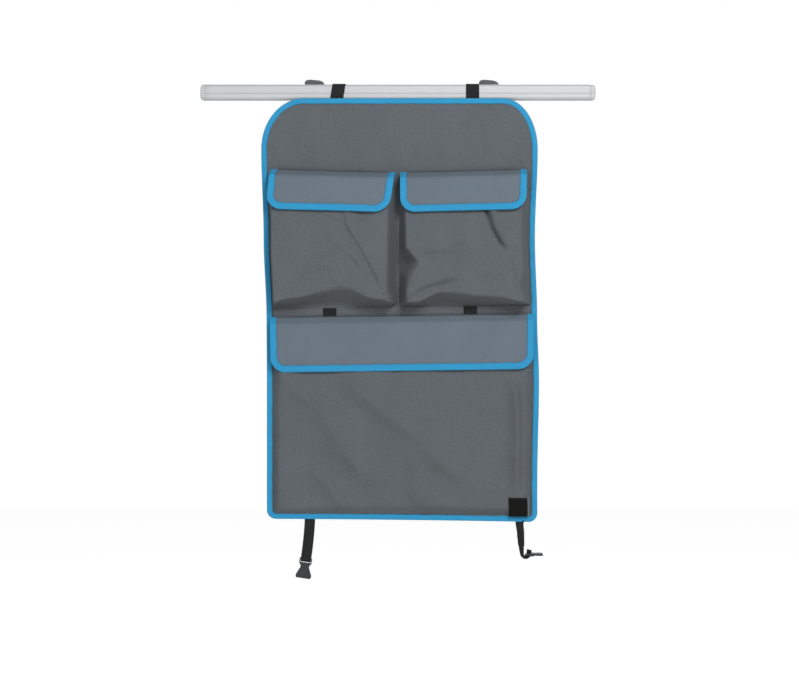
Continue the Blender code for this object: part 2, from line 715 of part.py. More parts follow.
def rail_cap(model, name, outline, side):
    """A moulded cap with the rail's outline, front corners rounded, and a hollow plug that fits its bore."""
    end = RAIL_OFFSET + side * RAIL_LENGTH / 2
    middle = end - side * CAP_LENGTH / 2
    head = as_mesh(plate(name, [outline], CAP_LENGTH, Matrix.Translation((middle, 0, 0)) @ ALONG_X))
    corners = [
        (-CAP_LENGTH, -RAIL_HEIGHT, 0, 0),
        (CAP_LENGTH / 2, -RAIL_HEIGHT / 2, CAP_CORNER, CAP_CORNER),
        (CAP_LENGTH / 2, RAIL_HEIGHT / 2, CAP_CORNER, CAP_CORNER),
        (-CAP_LENGTH, RAIL_HEIGHT, 0, 0),
    ]
    shape = rounded([(side * a, b, c, d) for a, b, c, d in corners])
    trim_place = Matrix.Translation((middle, 0, 0)) @ FACE_FRONT
    trim = as_mesh(plate(name + "_trim", [shape], RAIL_DEPTH * 2, trim_place))
    model.cut(head, trim, "INTERSECT")
    plug_width = RAIL_DEPTH - 2 * RAIL_WALL - GROOVE_DEPTH - 2 * GAP
    plug_height = RAIL_HEIGHT - 2 * RAIL_WALL - 2 * GAP
    outer = rounded_box(plug_width, plug_height, RAIL_CORNER - RAIL_WALL)
    inner = rounded_box(plug_width - 2 * CAP_PLUG_WALL, plug_height - 2 * CAP_PLUG_WALL, CAP_PLUG_WALL)
    overlap = CAP_LENGTH / 2
    place = (end - side * (CAP_LENGTH - overlap + (CAP_PLUG + overlap) / 2), GROOVE_DEPTH / 2, 0)
    matrix = Matrix.Translation(place) @ ALONG_X
    plug = as_mesh(plate(name + "_plug", [outer, inner], CAP_PLUG + overlap, matrix))
    model.cut(head, plug, "UNION")
    return head


def strap_loops(model, slide, swing):
    """Two webbing loops sewn shut round the rail, and the sewn ends behind the panel that they carry."""
    wide, high = RAIL_DEPTH + 2 * GAP, RAIL_HEIGHT + 2 * GAP
    inner = rounded_box(wide, high, RAIL_CORNER + GAP)
    outer = rounded_box(
        wide + 2 * LOOP_THICKNESS, high + 2 * LOOP_THICKNESS, RAIL_CORNER + GAP + LOOP_THICKNESS
    )
    anchor_top = PANEL_TOP - ANCHOR_TOP_BELOW_EDGE
    anchor_thickness = 2 * LOOP_THICKNESS
    for name, x, slant in (
        ("left", LOOP_LEFT_X, LOOP_LEFT_SLANT),
        ("right", LOOP_RIGHT_X, LOOP_RIGHT_SLANT),
    ):
        loop = as_mesh(plate("strap_loop_" + name, [outer, inner], LOOP_WEBBING, ALONG_X))
        lean = Matrix.Identity(4)
        lean[0][2] = slant
        loop.data.transform(lean @ ALONG_X)
        loop.matrix_world = Matrix.Translation((x, 0, 0))
        model.add(loop, "black_webbing", slide)
        foot = x + slant * anchor_top
        outline = rounded_box(LOOP_WEBBING, ANCHOR_LENGTH, 0.001, 2)
        middle_y = BINDING_REAR + GAP + anchor_thickness / 2
        place = Matrix.Translation((foot, middle_y, anchor_top - ANCHOR_LENGTH / 2)) @ FACE_FRONT
        model.add(plate("strap_anchor_" + name, [outline], anchor_thickness, place), "black_webbing", swing)


def rear_tabs(model, slide, swing):
    """Doubled cloth tabs: sewn to the panel's back, they pass under the rail and stand up behind it."""
    half = TAB_THICKNESS / 2
    rear = RAIL_DEPTH / 2 + GAP + half
    under = -RAIL_HEIGHT / 2 - 3 * GAP - half
    top = RAIL_HEIGHT / 2 + TAB_RISE
    start = BINDING_REAR + 3 * GAP + TAB_THICKNESS
    bend = [
        Vector((rear - TAB_BEND * (1 - math.sin(a)), under + TAB_BEND * (1 - math.cos(a))))
        for a in (math.pi / 2 * k / 5 for k in range(6))
    ]
    line = [Vector((start, under)), *bend, Vector((rear, top))]
    anchor_top = under - half - 3 * GAP
    for name, x in (("left", TAB_LEFT_X), ("right", TAB_RIGHT_X)):
        left, right = x - TAB_WIDTH / 2, x + TAB_WIDTH / 2
        centres = [Vector((x, y, z)) for y, z in line]
        widths = [Vector((TAB_WIDTH / 2, 0, 0)) for _ in line]
        tab = ribbon("rear_tab_" + name, centres, widths, TAB_THICKNESS)
        shape = rounded(
            [
                (left - TAB_WIDTH, under - TAB_WIDTH, 0, 0),
                (right + TAB_WIDTH, under - TAB_WIDTH, 0, 0),
                (right + TAB_WIDTH, under + TAB_BEND, 0, 0),
                (right, under + TAB_BEND, 0, 0),
                (right, top - TAB_SLOPE, TAB_ROUNDING, TAB_ROUNDING * 1.6),
                (left, top, TAB_ROUNDING, TAB_ROUNDING),
                (left, under + TAB_BEND, 0, 0),
                (left - TAB_WIDTH, under + TAB_BEND, 0, 0),
            ]
        )
        trim = as_mesh(plate("rear_tab_trim_" + name, [shape], RAIL_DEPTH * 3, FACE_FRONT))
        model.cut(tab, trim, "INTERSECT")
        model.add(tab, "panel_cloth", slide)
        outline = rounded_box(TAB_WIDTH, ANCHOR_LENGTH, 0.001, 2)
        place_y = BINDING_REAR + GAP + half
        place = Matrix.Translation((x, place_y, anchor_top - ANCHOR_LENGTH / 2)) @ FACE_FRONT
        model.add(plate("tab_anchor_" + name, [outline], TAB_THICKNESS, place), "panel_cloth", swing)


def panel(model, swing):
    """The back cloth and the blue binding folded over its whole edge."""
    outline = panel_outline()
    middle = (PANEL_FRONT + PANEL_REAR) / 2
    place = Matrix.Translation((0, middle, 0)) @ FACE_FRONT
    model.add(plate("back_panel", [outline], PANEL_CLOTH, place), "panel_cloth", swing)
    bm = bmesh.new()
    fold_over(bm, outline, True, BINDING_WIDTH, PANEL_CLOTH / 2, BINDING_CLOTH)
    binding = mesh_object("edge_binding", bm)
    binding.matrix_world = place
    model.add(binding, "blue_tape", swing)


def top_flap_sides(side, inset):
    """(left, right) ends of a top flap's seam: side is -1 for the left one and 1 for the right."""
    inner, outer = MIDDLE_X + side * FLAP_MIDDLE_GAP / 2, side_x(side, TOP_SEAM_Z) - side * inset
    return (outer, inner) if side < 0 else (inner, outer)


def top_pocket(side, inset, gussets, floor, folds):
    """A top pocket: its inner side is straight, and its outer side keeps beside the edge binding."""
    inner = MIDDLE_X + side * MIDDLE_GAP / 2
    edges = {side: lambda z: side_x(side, z) - side * inset, -side: lambda z: inner}
    depths = (POCKET_MOUTH_DEPTH, POCKET_BELLY_DEPTH, POCKET_BELLY_DOWN)
    return Pocket(
        edges[-1], edges[1], POCKET_TOP_Z, POCKET_BOTTOM_Z, depths, gussets, floor, POCKET_SOFTNESS, folds,
    )


def pocket(model, name, suffix, front, tape, shy, swing):
    """A pocket's front with a hem along its mouth and a strip of loop tape below it."""
    model.add(surface(name, 26, 18, front.place, POCKET_CLOTH), "panel_cloth", swing)
    left, right = front.left(front.top), front.right(front.top)
    hem_low = front.top - HEM_HEIGHT
    hem = laid("pocket_hem_" + suffix, front, left + shy, right - shy, front.top, hem_low, GAP, TAPE_CLOTH)
    model.add(hem, "panel_cloth", swing)
    middle, tape_top = (left + right) / 2, front.top - TAPE_BELOW_MOUTH
    loop = laid(
        "loop_tape_" + suffix, front, middle - tape / 2, middle + tape / 2, tape_top,
        tape_top - TAPE_HEIGHT, GAP, TAPE_THICKNESS,
    )
    model.add(loop, "black_tape", swing)


def hanging_label(large):
    """The label is sewn on at its top and hangs flat past the pocket's drawn-up floor."""
    right, low = side_x(1, LARGE_BOTTOM_Z) - LABEL_INSET, LARGE_BOTTOM_Z - LABEL_BELOW_EDGE
    tops = [large.depth(right - LABEL_WIDTH * share, low + LABEL_HEIGHT) for share in (0.0, 0.25, 0.5, 0.75, 1.0)]
    y = POCKET_REAR - max(tops) - GAP

    def place(u, v):
        z = low + LABEL_HEIGHT * (1 - v)
        return Vector((right - LABEL_WIDTH * (1 - u) + LABEL_SLANT * (z - low), y, z))

    return surface("label", 4, 4, place, LABEL_CLOTH, 1.0)


def pockets(model, swing):
    """Three pocket fronts sewn to the panel, and the small label on the large one."""
    left = top_pocket(-1, POCKET_INSET_LEFT, LEFT_GUSSETS, LEFT_FLOOR, LEFT_FOLDS)
    right = top_pocket(1, POCKET_INSET_RIGHT, RIGHT_GUSSETS, RIGHT_FLOOR, RIGHT_FOLDS)
    pocket(model, "pocket_left", "left", left, TOP_TAPE_WIDTH, HEM_SHY, swing)
    pocket(model, "pocket_right", "right", right, TOP_TAPE_WIDTH, HEM_SHY, swing)
    large = Pocket(
        lambda z: large_side_x(-1, z), lambda z: large_side_x(1, z), LARGE_TOP_Z, LARGE_BOTTOM_Z,
        (LARGE_MOUTH_DEPTH, LARGE_BELLY_DEPTH, POCKET_BELLY_DOWN), LARGE_GUSSETS, LARGE_FLOOR,
        LARGE_SOFTNESS, LARGE_FOLDS,
    )
    pocket(model, "large_pocket", "large", large, LARGE_TAPE_WIDTH, LARGE_HEM_SHY, swing)
    model.add(hanging_label(large), "black_webbing", swing)


def flap_outline(width, length, corner, taper):
    """Flat cut of a flap, as (across, along): straight seam, sides that draw in or out, round corners."""
    half = width / 2
    return [
        (-half, 0.0, 0, 0), (-half + taper[0], length, corner, corner),
        (half - taper[1], length, corner, corner), (half, 0.0, 0, 0),
    ]


def mouth_corner(seam_y, below_seam, depth):
    """The hemmed edge of a pocket's mouth as (forward, down) from its flap's seam."""
    return Vector((seam_y - (POCKET_REAR - depth - GAP - TAPE_CLOTH), below_seam))


def flap(model, suffix, sides, seam_y, seam_z, tilt, section, cut, tape_width, tape_down, swing):
    """A flap cut flat, bound on three sides, given hook tape and hung forward over its pocket."""
    left, right = sides
    seam = Vector(((left + right) / 2, seam_y, seam_z))
    axis = model.joint("flap_axis_" + suffix, seam, swing)
    outline = rounded(flap_outline(right - left, section.length, *cut))
    cloth = draped_sheet("flap_" + suffix, outline, section, seam, tilt, FLAP_CLOTH)
    model.add(cloth, "flap_cloth", axis)
    bm = bmesh.new()
    edge = with_steps(list(reversed(outline)), FLAP_BINDING_STEP)
    fold_over(bm, edge, False, FLAP_BINDING_WIDTH, FLAP_CLOTH / 2, TAPE_CLOTH)
    cut_rows(bm, section)
    drape(bm, section, seam, tilt)
    face_out(bm)
    model.add(mesh_object("flap_binding_" + suffix, bm), "blue_tape", axis)
    half, tape_low = tape_width / 2, tape_down + TAPE_HEIGHT
    tape = [(-half, tape_down), (half, tape_down), (half, tape_low), (-half, tape_low)]
    under = -FLAP_CLOTH / 2 - GAP
    hook = draped_sheet("hook_tape_" + suffix, tape, section, seam, tilt, TAPE_THICKNESS, under, -1.0)
    model.add(hook, "black_tape", axis)


def flaps(model, swing):
    """The two top flaps and the large one. Each hook tape lies over its pocket's loop tape."""
    mouth = mouth_corner(TOP_FLAP_Y, MOUTH_BELOW_SEAM, POCKET_MOUTH_DEPTH)
    section = Section(mouth, FLAP_DROP, FLAP_REACH, FLAP_BEND, FLAP_DIP, FLAP_DIP_DOWN)
    tape_down = section.down_to(MOUTH_BELOW_SEAM + TAPE_BELOW_MOUTH)
    for side, suffix, tilt, inset, taper in (
        (-1, "left", FLAP_TILT_LEFT, FLAP_INSET_LEFT, LEFT_FLAP_TAPER),
        (1, "right", FLAP_TILT_RIGHT, FLAP_INSET_RIGHT, RIGHT_FLAP_TAPER),
    ):
        sides = top_flap_sides(side, inset)
        flap(
            model, suffix, sides, TOP_FLAP_Y, TOP_SEAM_Z, tilt, section, (FLAP_CORNER, taper),
            TOP_TAPE_WIDTH, tape_down, swing,
        )
    mouth = mouth_corner(LARGE_FLAP_Y, LARGE_MOUTH_BELOW_SEAM, LARGE_MOUTH_DEPTH)
    section = Section(
        mouth, LARGE_FLAP_DROP, LARGE_FLAP_REACH, LARGE_FLAP_BEND, LARGE_FLAP_DIP, LARGE_FLAP_DIP_DOWN
    )
    sides = side_x(-1, LARGE_SEAM_Z) + LARGE_FLAP_INSET, side_x(1, LARGE_SEAM_Z) - LARGE_FLAP_INSET
    tape_down = section.down_to(LARGE_MOUTH_BELOW_SEAM + TAPE_BELOW_MOUTH)
    flap(
        model, "large", sides, LARGE_FLAP_Y, LARGE_SEAM_Z, LARGE_FLAP_TILT, section,
        (LARGE_FLAP_CORNER, LARGE_FLAP_TAPER), LARGE_TAPE_WIDTH, tape_down, swing,
    )


def large_seam_at(x):
    """Height of the large flap's tilted seam at this place across the panel."""
    middle = (side_x(-1, LARGE_SEAM_Z) + side_x(1, LARGE_SEAM_Z)) / 2
    return LARGE_SEAM_Z - math.tan(math.radians(LARGE_FLAP_TILT)) * (x - middle)


def seam(model, swing):
    """The stitched band above the large flap, with a folded webbing tab sewn in at each side."""
    inset = BINDING_WIDTH + INSIDE_BINDING
    left, right = side_x(-1, LARGE_SEAM_Z) + inset, side_x(1, LARGE_SEAM_Z) - inset
    above, below = SEAM_BAND_ABOVE, SEAM_BAND_HEIGHT - SEAM_BAND_ABOVE
    outline = [
        Vector((left, large_seam_at(left) - below)), Vector((right, large_seam_at(right) - below)),
        Vector((right, large_seam_at(right) + above)), Vector((left, large_seam_at(left) + above)),
    ]
    band_y = PANEL_FRONT - GAP - TAPE_CLOTH / 2
    place = Matrix.Translation((0, band_y, 0)) @ FACE_FRONT
    model.add(plate("seam_band", [outline], TAPE_CLOTH, place), "panel_cloth", swing)
    rear = band_y - TAPE_CLOTH / 2 - GAP - SEAM_TAB_CLOTH / 2
    turn_radius = (SEAM_TAB_CLOTH + GAP) / 2
    for name, x in (("left", SEAM_TAB_LEFT_X), ("right", SEAM_TAB_RIGHT_X)):
        low = large_seam_at(x) + SEAM_TAB_LIFT
        top = low + SEAM_TAB_HEIGHT - turn_radius - SEAM_TAB_CLOTH / 2
        centres = [Vector((x, rear, low))]
        for k in range(7):
            angle = math.pi * k / 6
            centres.append(
                Vector((x, rear - turn_radius * (1 - math.cos(angle)), top + turn_radius * math.sin(angle)))
            )
        centres.append(Vector((x, rear - 2 * turn_radius, low)))
        widths = [Vector((SEAM_TAB_WIDTH / 2, 0, 0)) for _ in centres]
        model.add(ribbon("seam_tab_" + name, centres, widths, SEAM_TAB_CLOTH), "black_webbing", swing)


def strap_anchor(model, name, x, swing):
    """The sewn end of a bottom strap, behind the panel's lower binding."""
    low = strap_pivot_z(x) + STRAP_THICKNESS / 2 + GAP
    middle = low + STRAP_ANCHOR_LENGTH / 2
    outline = rounded_box(STRAP_WEBBING, STRAP_ANCHOR_LENGTH, 0.0008, 2)
    place = Matrix.Translation((x, STRAP_Y, middle)) @ FACE_FRONT
    model.add(plate(name, [outline], STRAP_THICKNESS, place), "black_webbing", swing)


def left_strap_x(down):
    """The left strap hangs a little to the left, more so towards its end."""
    return STRAP_LEFT_X - STRAP_LEFT_LEAN * down - STRAP_LEFT_CURL * down * down


def left_strap(model, swing):
    """The strap runs down in front, turns round the socket's bar and is sewn back on itself behind."""
    radius = BAR_REACH + GAP + STRAP_THICKNESS / 2
    pivot_z = strap_pivot_z(STRAP_LEFT_X)
    bar_y, bar_down = STRAP_Y + radius, STRAP_LEFT_LENGTH
    slope = STRAP_LEFT_LEAN + 2 * STRAP_LEFT_CURL * bar_down
    runs = [(STRAP_Y, -GAP)] + [(STRAP_Y, bar_down * k / 8) for k in range(1, 8)]
    runs += [
        (bar_y - radius * math.cos(a), bar_down + radius * math.sin(a))
        for a in (math.pi * k / 8 for k in range(9))
    ]
    sewn_y = STRAP_Y + STRAP_THICKNESS + GAP
    runs += [(bar_y + radius * 0.7, bar_down - 0.003), (sewn_y, bar_down - 0.009)]
    runs += [(sewn_y, bar_down - STRAP_TAIL)]
    centres, widths = [], []
    for y, down in runs:
        angle = math.atan(STRAP_LEFT_LEAN + 2 * STRAP_LEFT_CURL * min(down, bar_down))
        centres.append(Vector((left_strap_x(down), y, pivot_z - down)))
        widths.append(Vector((math.cos(angle), 0, -math.sin(angle))) * STRAP_WEBBING / 2)
    hang = model.joint("bottom_strap_axis_left", (STRAP_LEFT_X, STRAP_Y, pivot_z), swing)
    model.add(ribbon("bottom_strap_left", centres, widths, STRAP_THICKNESS), "black_webbing", hang)
    bar = Vector((left_strap_x(bar_down), bar_y, pivot_z - bar_down))
    pivot = model.joint("socket_axis", bar, hang)
    place = Matrix.Translation(bar) @ Matrix.Rotation(math.atan(slope), 4, "Y")
    model.add(buckle_socket(model, place), "black_plastic", pivot)


def webbing_slot():
    """Outline of the slot behind a webbing bar whose centre is the origin."""
    play = STRAP_WEBBING / 2 + BUCKLE_SIDE_PLAY
    low, high = -BUCKLE_BAR / 2 - BUCKLE_SLOT, -BUCKLE_BAR / 2
    return [Vector((-play, low)), Vector((play, low)), Vector((play, high)), Vector((-play, high))]


def buckle_socket(model, place):
    """Socket half: a bar end, a waist with open sides where the plug's arms are pressed, and a wide mouth."""
    width, slot = BUCKLE_WIDTH, webbing_slot()
    top = BUCKLE_BAR / 2
    body = -BUCKLE_BAR / 2 - BUCKLE_SLOT
    end = body - SOCKET_LENGTH
    waist = body - SOCKET_LENGTH * 0.24
    half, narrow, wide = width / 2, SOCKET_WAIST / 2, SOCKET_WIDTH / 2
    right = [
        (wide - 0.001, end, 0.0015, 0.0015), (wide, end + 0.0055, 0.002, 0.002),
        (narrow, waist, 0.004, 0.003), (half, body - 0.001, 0.0015, 0.0015),
        (half, top, 0.0014, 0.0014),
    ]
    left = [(-x, z, after, before) for x, z, before, after in reversed(right)]
    outline = rounded(left + right, 3)
    shell = as_mesh(plate("buckle_socket", [outline, slot], SOCKET_THICKNESS, FACE_FRONT))
    shell.data.transform(FACE_FRONT)
    shell.matrix_world = Matrix.Identity(4)
    cavity = SOCKET_THICKNESS - 2 * SOCKET_WALL
    inside = wide - SOCKET_WALL
    hollow = box(
        "socket_hollow",
        (-inside, -cavity / 2, end - 0.002), (inside, cavity / 2, end + SOCKET_DEPTH),
    )
    model.cut(shell, hollow)
    # The bar end is thinner than the shell, so that the folded webbing lies flush.
    for side in (-1, 1):
        low, high = sorted((side * BUCKLE_BAR / 2, side * SOCKET_THICKNESS))
        step = box(
            "socket_step_front" if side < 0 else "socket_step_rear",
            (-half * 2, low, body + BUCKLE_SHOULDER), (half * 2, high, top * 2),
        )
        model.cut(shell, step)
        step.matrix_world = place
    hollow.matrix_world = place
    shell.matrix_world = place
    return shell


def right_strap(model, swing):
    """The strap turns edge-on as it hangs, and its loose end stands up through the plug's slot."""
    radius = STRAP_RIGHT_LOOP
    pivot_z = strap_pivot_z(STRAP_RIGHT_X)
    run_x = STRAP_RIGHT_X + STRAP_RIGHT_SHIFT
    loop_x, loop_down = run_x + radius, STRAP_RIGHT_LENGTH
    line = []
    for k in range(9):
        down = loop_down * k / 9 if k else -GAP
        line.append((STRAP_RIGHT_X + STRAP_RIGHT_SHIFT * smooth(down / loop_down), down))
    for k in range(9):
        angle = math.pi * k / 8
        line.append((loop_x - radius * math.cos(angle), loop_down + radius * math.sin(angle)))
    line.append((loop_x + radius, loop_down - STRAP_RIGHT_TAIL))
    centres, widths = [], []
    for index, (x, down) in enumerate(line):
        share = min(max(down, 0.0) / STRAP_TWIST_LENGTH, 1.0) if index < 9 else 1.0
        turn = math.pi / 2 * (0.35 * share + 0.65 * share**3)
        centres.append(Vector((x, STRAP_Y, pivot_z - down)))
        widths.append(Vector((math.cos(turn), -math.sin(turn), 0)) * STRAP_WEBBING / 2)
    hang = model.joint("bottom_strap_axis_right", (STRAP_RIGHT_X, STRAP_Y, pivot_z), swing)
    model.add(ribbon("bottom_strap_right", centres, widths, STRAP_THICKNESS), "black_webbing", hang)
    # The bar lies in the bottom of the loop and can turn there on its corners.
    bar_down = loop_down + radius - STRAP_THICKNESS / 2 - GAP - BAR_REACH
    bar = Vector((loop_x, STRAP_Y, pivot_z - bar_down))
    pivot = model.joint("plug_axis", bar, hang)
    lie_flat = Matrix(((0, 0, -1, 0), (1, 0, 0, 0), (0, -1, 0, 0), (0, 0, 0, 1)))
    place = Matrix.Translation(bar) @ lie_flat
    model.add(buckle_plug(model, place), "black_plastic", pivot)


def buckle_plug(model, place):
    """Plug half: a bar end, a base, two sprung arms with barbs and a guide tongue between them."""
    width, slot = BUCKLE_WIDTH, webbing_slot()
    top = BUCKLE_BAR / 2
    body = -BUCKLE_BAR / 2 - BUCKLE_SLOT
    base = body - PLUG_BASE
    tip = base - PLUG_ARM_LENGTH
    half = width / 2
    mouth = SOCKET_WIDTH / 2 - SOCKET_WALL - PLUG_PLAY
    arm_out = mouth - PLUG_BARB
    tongue = PLUG_TONGUE / 2
    right = [
        (tongue, tip + 0.003, 0.0012, 0.0012), (tongue, base, 0.001, 0.001),
        (arm_out - PLUG_ARM, base, 0.001, 0.001), (arm_out - PLUG_ARM, tip + 0.002, 0.0015, 0.0015),
        (arm_out - PLUG_ARM + 0.0008, tip, 0.0004, 0.0004), (arm_out, tip, 0.0005, 0.0005),
        (mouth, tip + 0.0055, 0.001, 0.001), (mouth - 0.0004, tip + 0.0085, 0.0008, 0.0008),
        (arm_out, tip + 0.0088, 0.0003, 0.0003), (arm_out, base + 0.0005, 0.001, 0.001),
        (half, base + 0.002, 0.001, 0.001), (half, top, 0.0014, 0.0014),
    ]
    left = [(-x, z, after, before) for x, z, before, after in reversed(right)]
    outline = rounded(left + right, 2)
    arms_thickness = SOCKET_THICKNESS - 2 * SOCKET_WALL - 2 * PLUG_PLAY
    plug = as_mesh(plate("buckle_plug", [outline, slot], arms_thickness, FACE_FRONT))
    plug.data.transform(FACE_FRONT)
    plug.matrix_world = Matrix.Identity(4)
    thick = PLUG_BASE_THICKNESS / 2
    base_outline = rounded_box(width, PLUG_BASE, 0.0012, 2)
    block = as_mesh(plate("plug_base", [base_outline], 2 * thick, FACE_FRONT))
    block.data.transform(Matrix.Translation((0, 0, base + PLUG_BASE / 2)) @ FACE_FRONT)
    block.matrix_world = Matrix.Identity(4)
    model.cut(plug, block, "UNION")
    for side in (-1, 1):
        low, high = sorted((side * BUCKLE_BAR / 2, side * SOCKET_THICKNESS))
        step = box(
            "plug_step_front" if side < 0 else "plug_step_rear",
            (-half * 2, low, body + BUCKLE_SHOULDER), (half * 2, high, top * 2),
        )
        model.cut(plug, step)
        step.matrix_world = place
    block.matrix_world = place
    plug.matrix_world = place
    return plug


def main():
    model = Organizer()
    slide = model.joint("slide_axis", (0, 0, 0))
    swing = model.joint("swing_axis", (0, BINDING_REAR, PANEL_TOP), slide)
    rail(model)
    strap_loops(model, slide, swing)
    rear_tabs(model, slide, swing)
    panel(model, swing)
    pockets(model, swing)
    flaps(model, swing)
    seam(model, swing)
    strap_anchor(model, "bottom_anchor_left", STRAP_LEFT_X, swing)
    strap_anchor(model, "bottom_anchor_right", STRAP_RIGHT_X, swing)
    left_strap(model, swing)
    right_strap(model, swing)


main()
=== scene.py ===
"""A hanging tent organizer: a rail, webbing loops, a bound cloth panel with three flapped pockets and two straps."""

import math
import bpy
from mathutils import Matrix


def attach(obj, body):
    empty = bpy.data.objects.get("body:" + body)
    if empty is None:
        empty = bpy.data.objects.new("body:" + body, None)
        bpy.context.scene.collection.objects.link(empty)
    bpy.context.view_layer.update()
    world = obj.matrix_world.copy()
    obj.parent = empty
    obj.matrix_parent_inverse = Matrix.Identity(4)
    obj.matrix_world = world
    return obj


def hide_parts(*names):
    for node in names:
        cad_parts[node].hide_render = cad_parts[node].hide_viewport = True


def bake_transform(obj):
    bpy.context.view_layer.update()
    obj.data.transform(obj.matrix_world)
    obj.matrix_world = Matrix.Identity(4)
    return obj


bl_info = {
    "name": "Tent Organizer",
    "version": (1, 0, 0),
    "blender": (4, 5, 0),
    "location": "View3D > Sidebar > Organizer",
    "description": "Builds a hanging organizer of bound cloth with three flapped pockets",
    "category": "Object",
}

import bmesh
import bpy
import numpy as np
from bpy.props import FloatProperty, FloatVectorProperty, PointerProperty
from mathutils import Vector

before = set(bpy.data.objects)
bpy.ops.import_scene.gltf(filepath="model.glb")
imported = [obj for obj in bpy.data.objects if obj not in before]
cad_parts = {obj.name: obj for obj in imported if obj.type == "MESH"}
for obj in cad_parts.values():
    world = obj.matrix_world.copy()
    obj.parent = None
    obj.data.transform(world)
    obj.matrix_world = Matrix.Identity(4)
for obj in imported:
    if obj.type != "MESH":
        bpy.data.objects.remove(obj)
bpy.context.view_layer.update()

TAU = 2 * math.pi
# Play between pieces that lie on each other, and the steps along a sewn line and along a bound edge
GAP = 0.0003
LINE_STEP, EDGE_STEP = 0.0012, 0.0022
# How deep thread is pressed into what it holds, and how far it runs from a folded tape's inner edge
PRESSED, SEWN_IN = 0.0001, 0.0022

# Finishes that several pieces share
BODY_CLOTH = "Woven polyester body cloth"
BINDING_TAPE = "Grosgrain binding tape"
WEBBING = "Polypropylene webbing"
DARK_THREAD, BLUE_THREAD = "Dark sewing thread", "Blue sewing thread"

# Rail, with its groove on the front
RAIL_LENGTH, RAIL_OFFSET = 0.752, -0.003
RAIL_HEIGHT, RAIL_DEPTH, RAIL_CORNER = 0.030, 0.020, 0.006
GROOVE_WIDTH, GROOVE_DEPTH, GROOVE_DOWN = 0.0012, 0.0008, 0.0025
CAP_LENGTH, CAP_CORNER, RAIL_BEVEL = 0.007, 0.0062, 0.0002

# Webbing loops: (name, place across at the rail's middle, slant). Two layers lie behind the panel, at these y
LOOPS = (("left", -0.1175, 0.168), ("right", 0.139, 0.0))
LOOP_WIDTH, LOOP_THICKNESS, LOOP_DOWN = 0.025, 0.0014, 0.037
LOOP_LAYERS_Y = (-0.0110, -0.0096)
# A loop's box stitch: how far its middle is above the foot, its corners from there, and the lines between them
BOX_RISE = 0.012
BOX_CORNERS = ((-0.009, -0.008), (0.009, -0.008), (0.009, 0.012), (-0.009, 0.012))
BOX_LINES = ((0, 1), (1, 2), (2, 3), (3, 0), (0, 2), (3, 1))
# Cloth tabs: (name, place across), how far they reach below and above the rail, slope and corners of the top end
TABS = (("left", -0.1625), ("right", 0.1705))
TAB_WIDTH, TAB_THICKNESS, TAB_Y = 0.037, 0.002, -0.0107
TAB_DOWN, TAB_RISE, TAB_SLOPE, TAB_CORNER, TAB_UNEVEN = 0.034, 0.012, 0.003, 0.006, 0.0006

# Panel: the pulls are how far each side hangs inside its cut width, by the share of the way down
PANEL_WIDTH, PANEL_HEIGHT, PANEL_TOP, DROP_RIGHT = 0.523, 0.800, -0.0135, 0.004
PANEL_REAR, PANEL_FRONT = -0.0132, -0.0148
PANEL_CLOTH = PANEL_REAR - PANEL_FRONT
PULLS = {
    -1: ((0.12, 0.0), (0.33, 0.0045), (0.52, 0.0100), (0.67, 0.0107), (0.91, 0.0107)),
    1: ((0.12, 0.0), (0.33, 0.0053), (0.52, 0.0010), (0.67, -0.0025), (0.91, 0.0008)),
}
TOP_CORNER = {-1: 0.080, 1: 0.064}
TOP_CORNER_HEIGHT, BOTTOM_CORNER = 0.095, 0.016
BOTTOM_LIFT, BOTTOM_LEFT_LIFT = 0.0012, 0.002
BINDING_WIDTH, BINDING_CLOTH = 0.0095, 0.0009
BESIDE_BINDING = BINDING_WIDTH + 0.0018  # where the large pocket and the seam band start, inside the panel's edge
PANEL_BOTTOM = PANEL_TOP - PANEL_HEIGHT
# A folded tape's leg: (place from its inner edge, how far it swells or is pressed in)
TAPE_LEG = (
    (0.0, -0.00027), (0.0004, 0.0), (0.0013, 0.000135), (SEWN_IN, -0.000198), (0.0031, 0.000135), (0.0042, 0.00009),
)
# Bow of the back cloth above the top flaps: its height and unevenness, where it starts at the top and at the
# sides, over how far it grows from there, where its lower end lies over the seam and how far that takes
BOW, BOW_UNEVEN, BOW_TOP, BOW_SIDE = 0.0012, 0.0006, -0.024, 0.2485
BOW_TOP_FADE, BOW_SIDE_FADE, BOW_LOW, BOW_LOW_FADE = 0.03, 0.020, 0.0004, 0.0034
# It doubles towards the seam, from so far above it and over this way
BOW_MORE, BOW_MORE_FADE = 0.05, 0.045
# How far it may rise at once between a flap's tapes, which reach so far in, and over how far that grows
BOW_START, BOW_TAPES, BOW_TAPES_FADE = 0.0012, 0.013, 0.008
FLAP_RISE = 0.13  # a little less than the slope off the panel of a top flap lifted by 105 degrees

# Pockets: gussets and floors as (share, width or rise). A fold is a line of (across, down) shares drawn downwards,
# its height, and how wide it is on the left and on the right of that line
POCKET_REAR = -0.0157
POCKET_CLOTH = 0.0010
MIDDLE_X, MIDDLE_GAP, POCKET_INSET = -0.003, 0.005, 0.0108
# Depths of a pocket: at the mouth, at the belly, and how far down the belly is. Then how softly the front turns
# into the gussets and the floor, and the power that tucks these in behind it
TOP_DEPTHS, LARGE_DEPTHS = (0.022, 0.046, 0.75), (0.010, 0.014, 0.75)
TOP_TURN, LARGE_TURN = (0.09, 1.6), (0.16, 1.1)
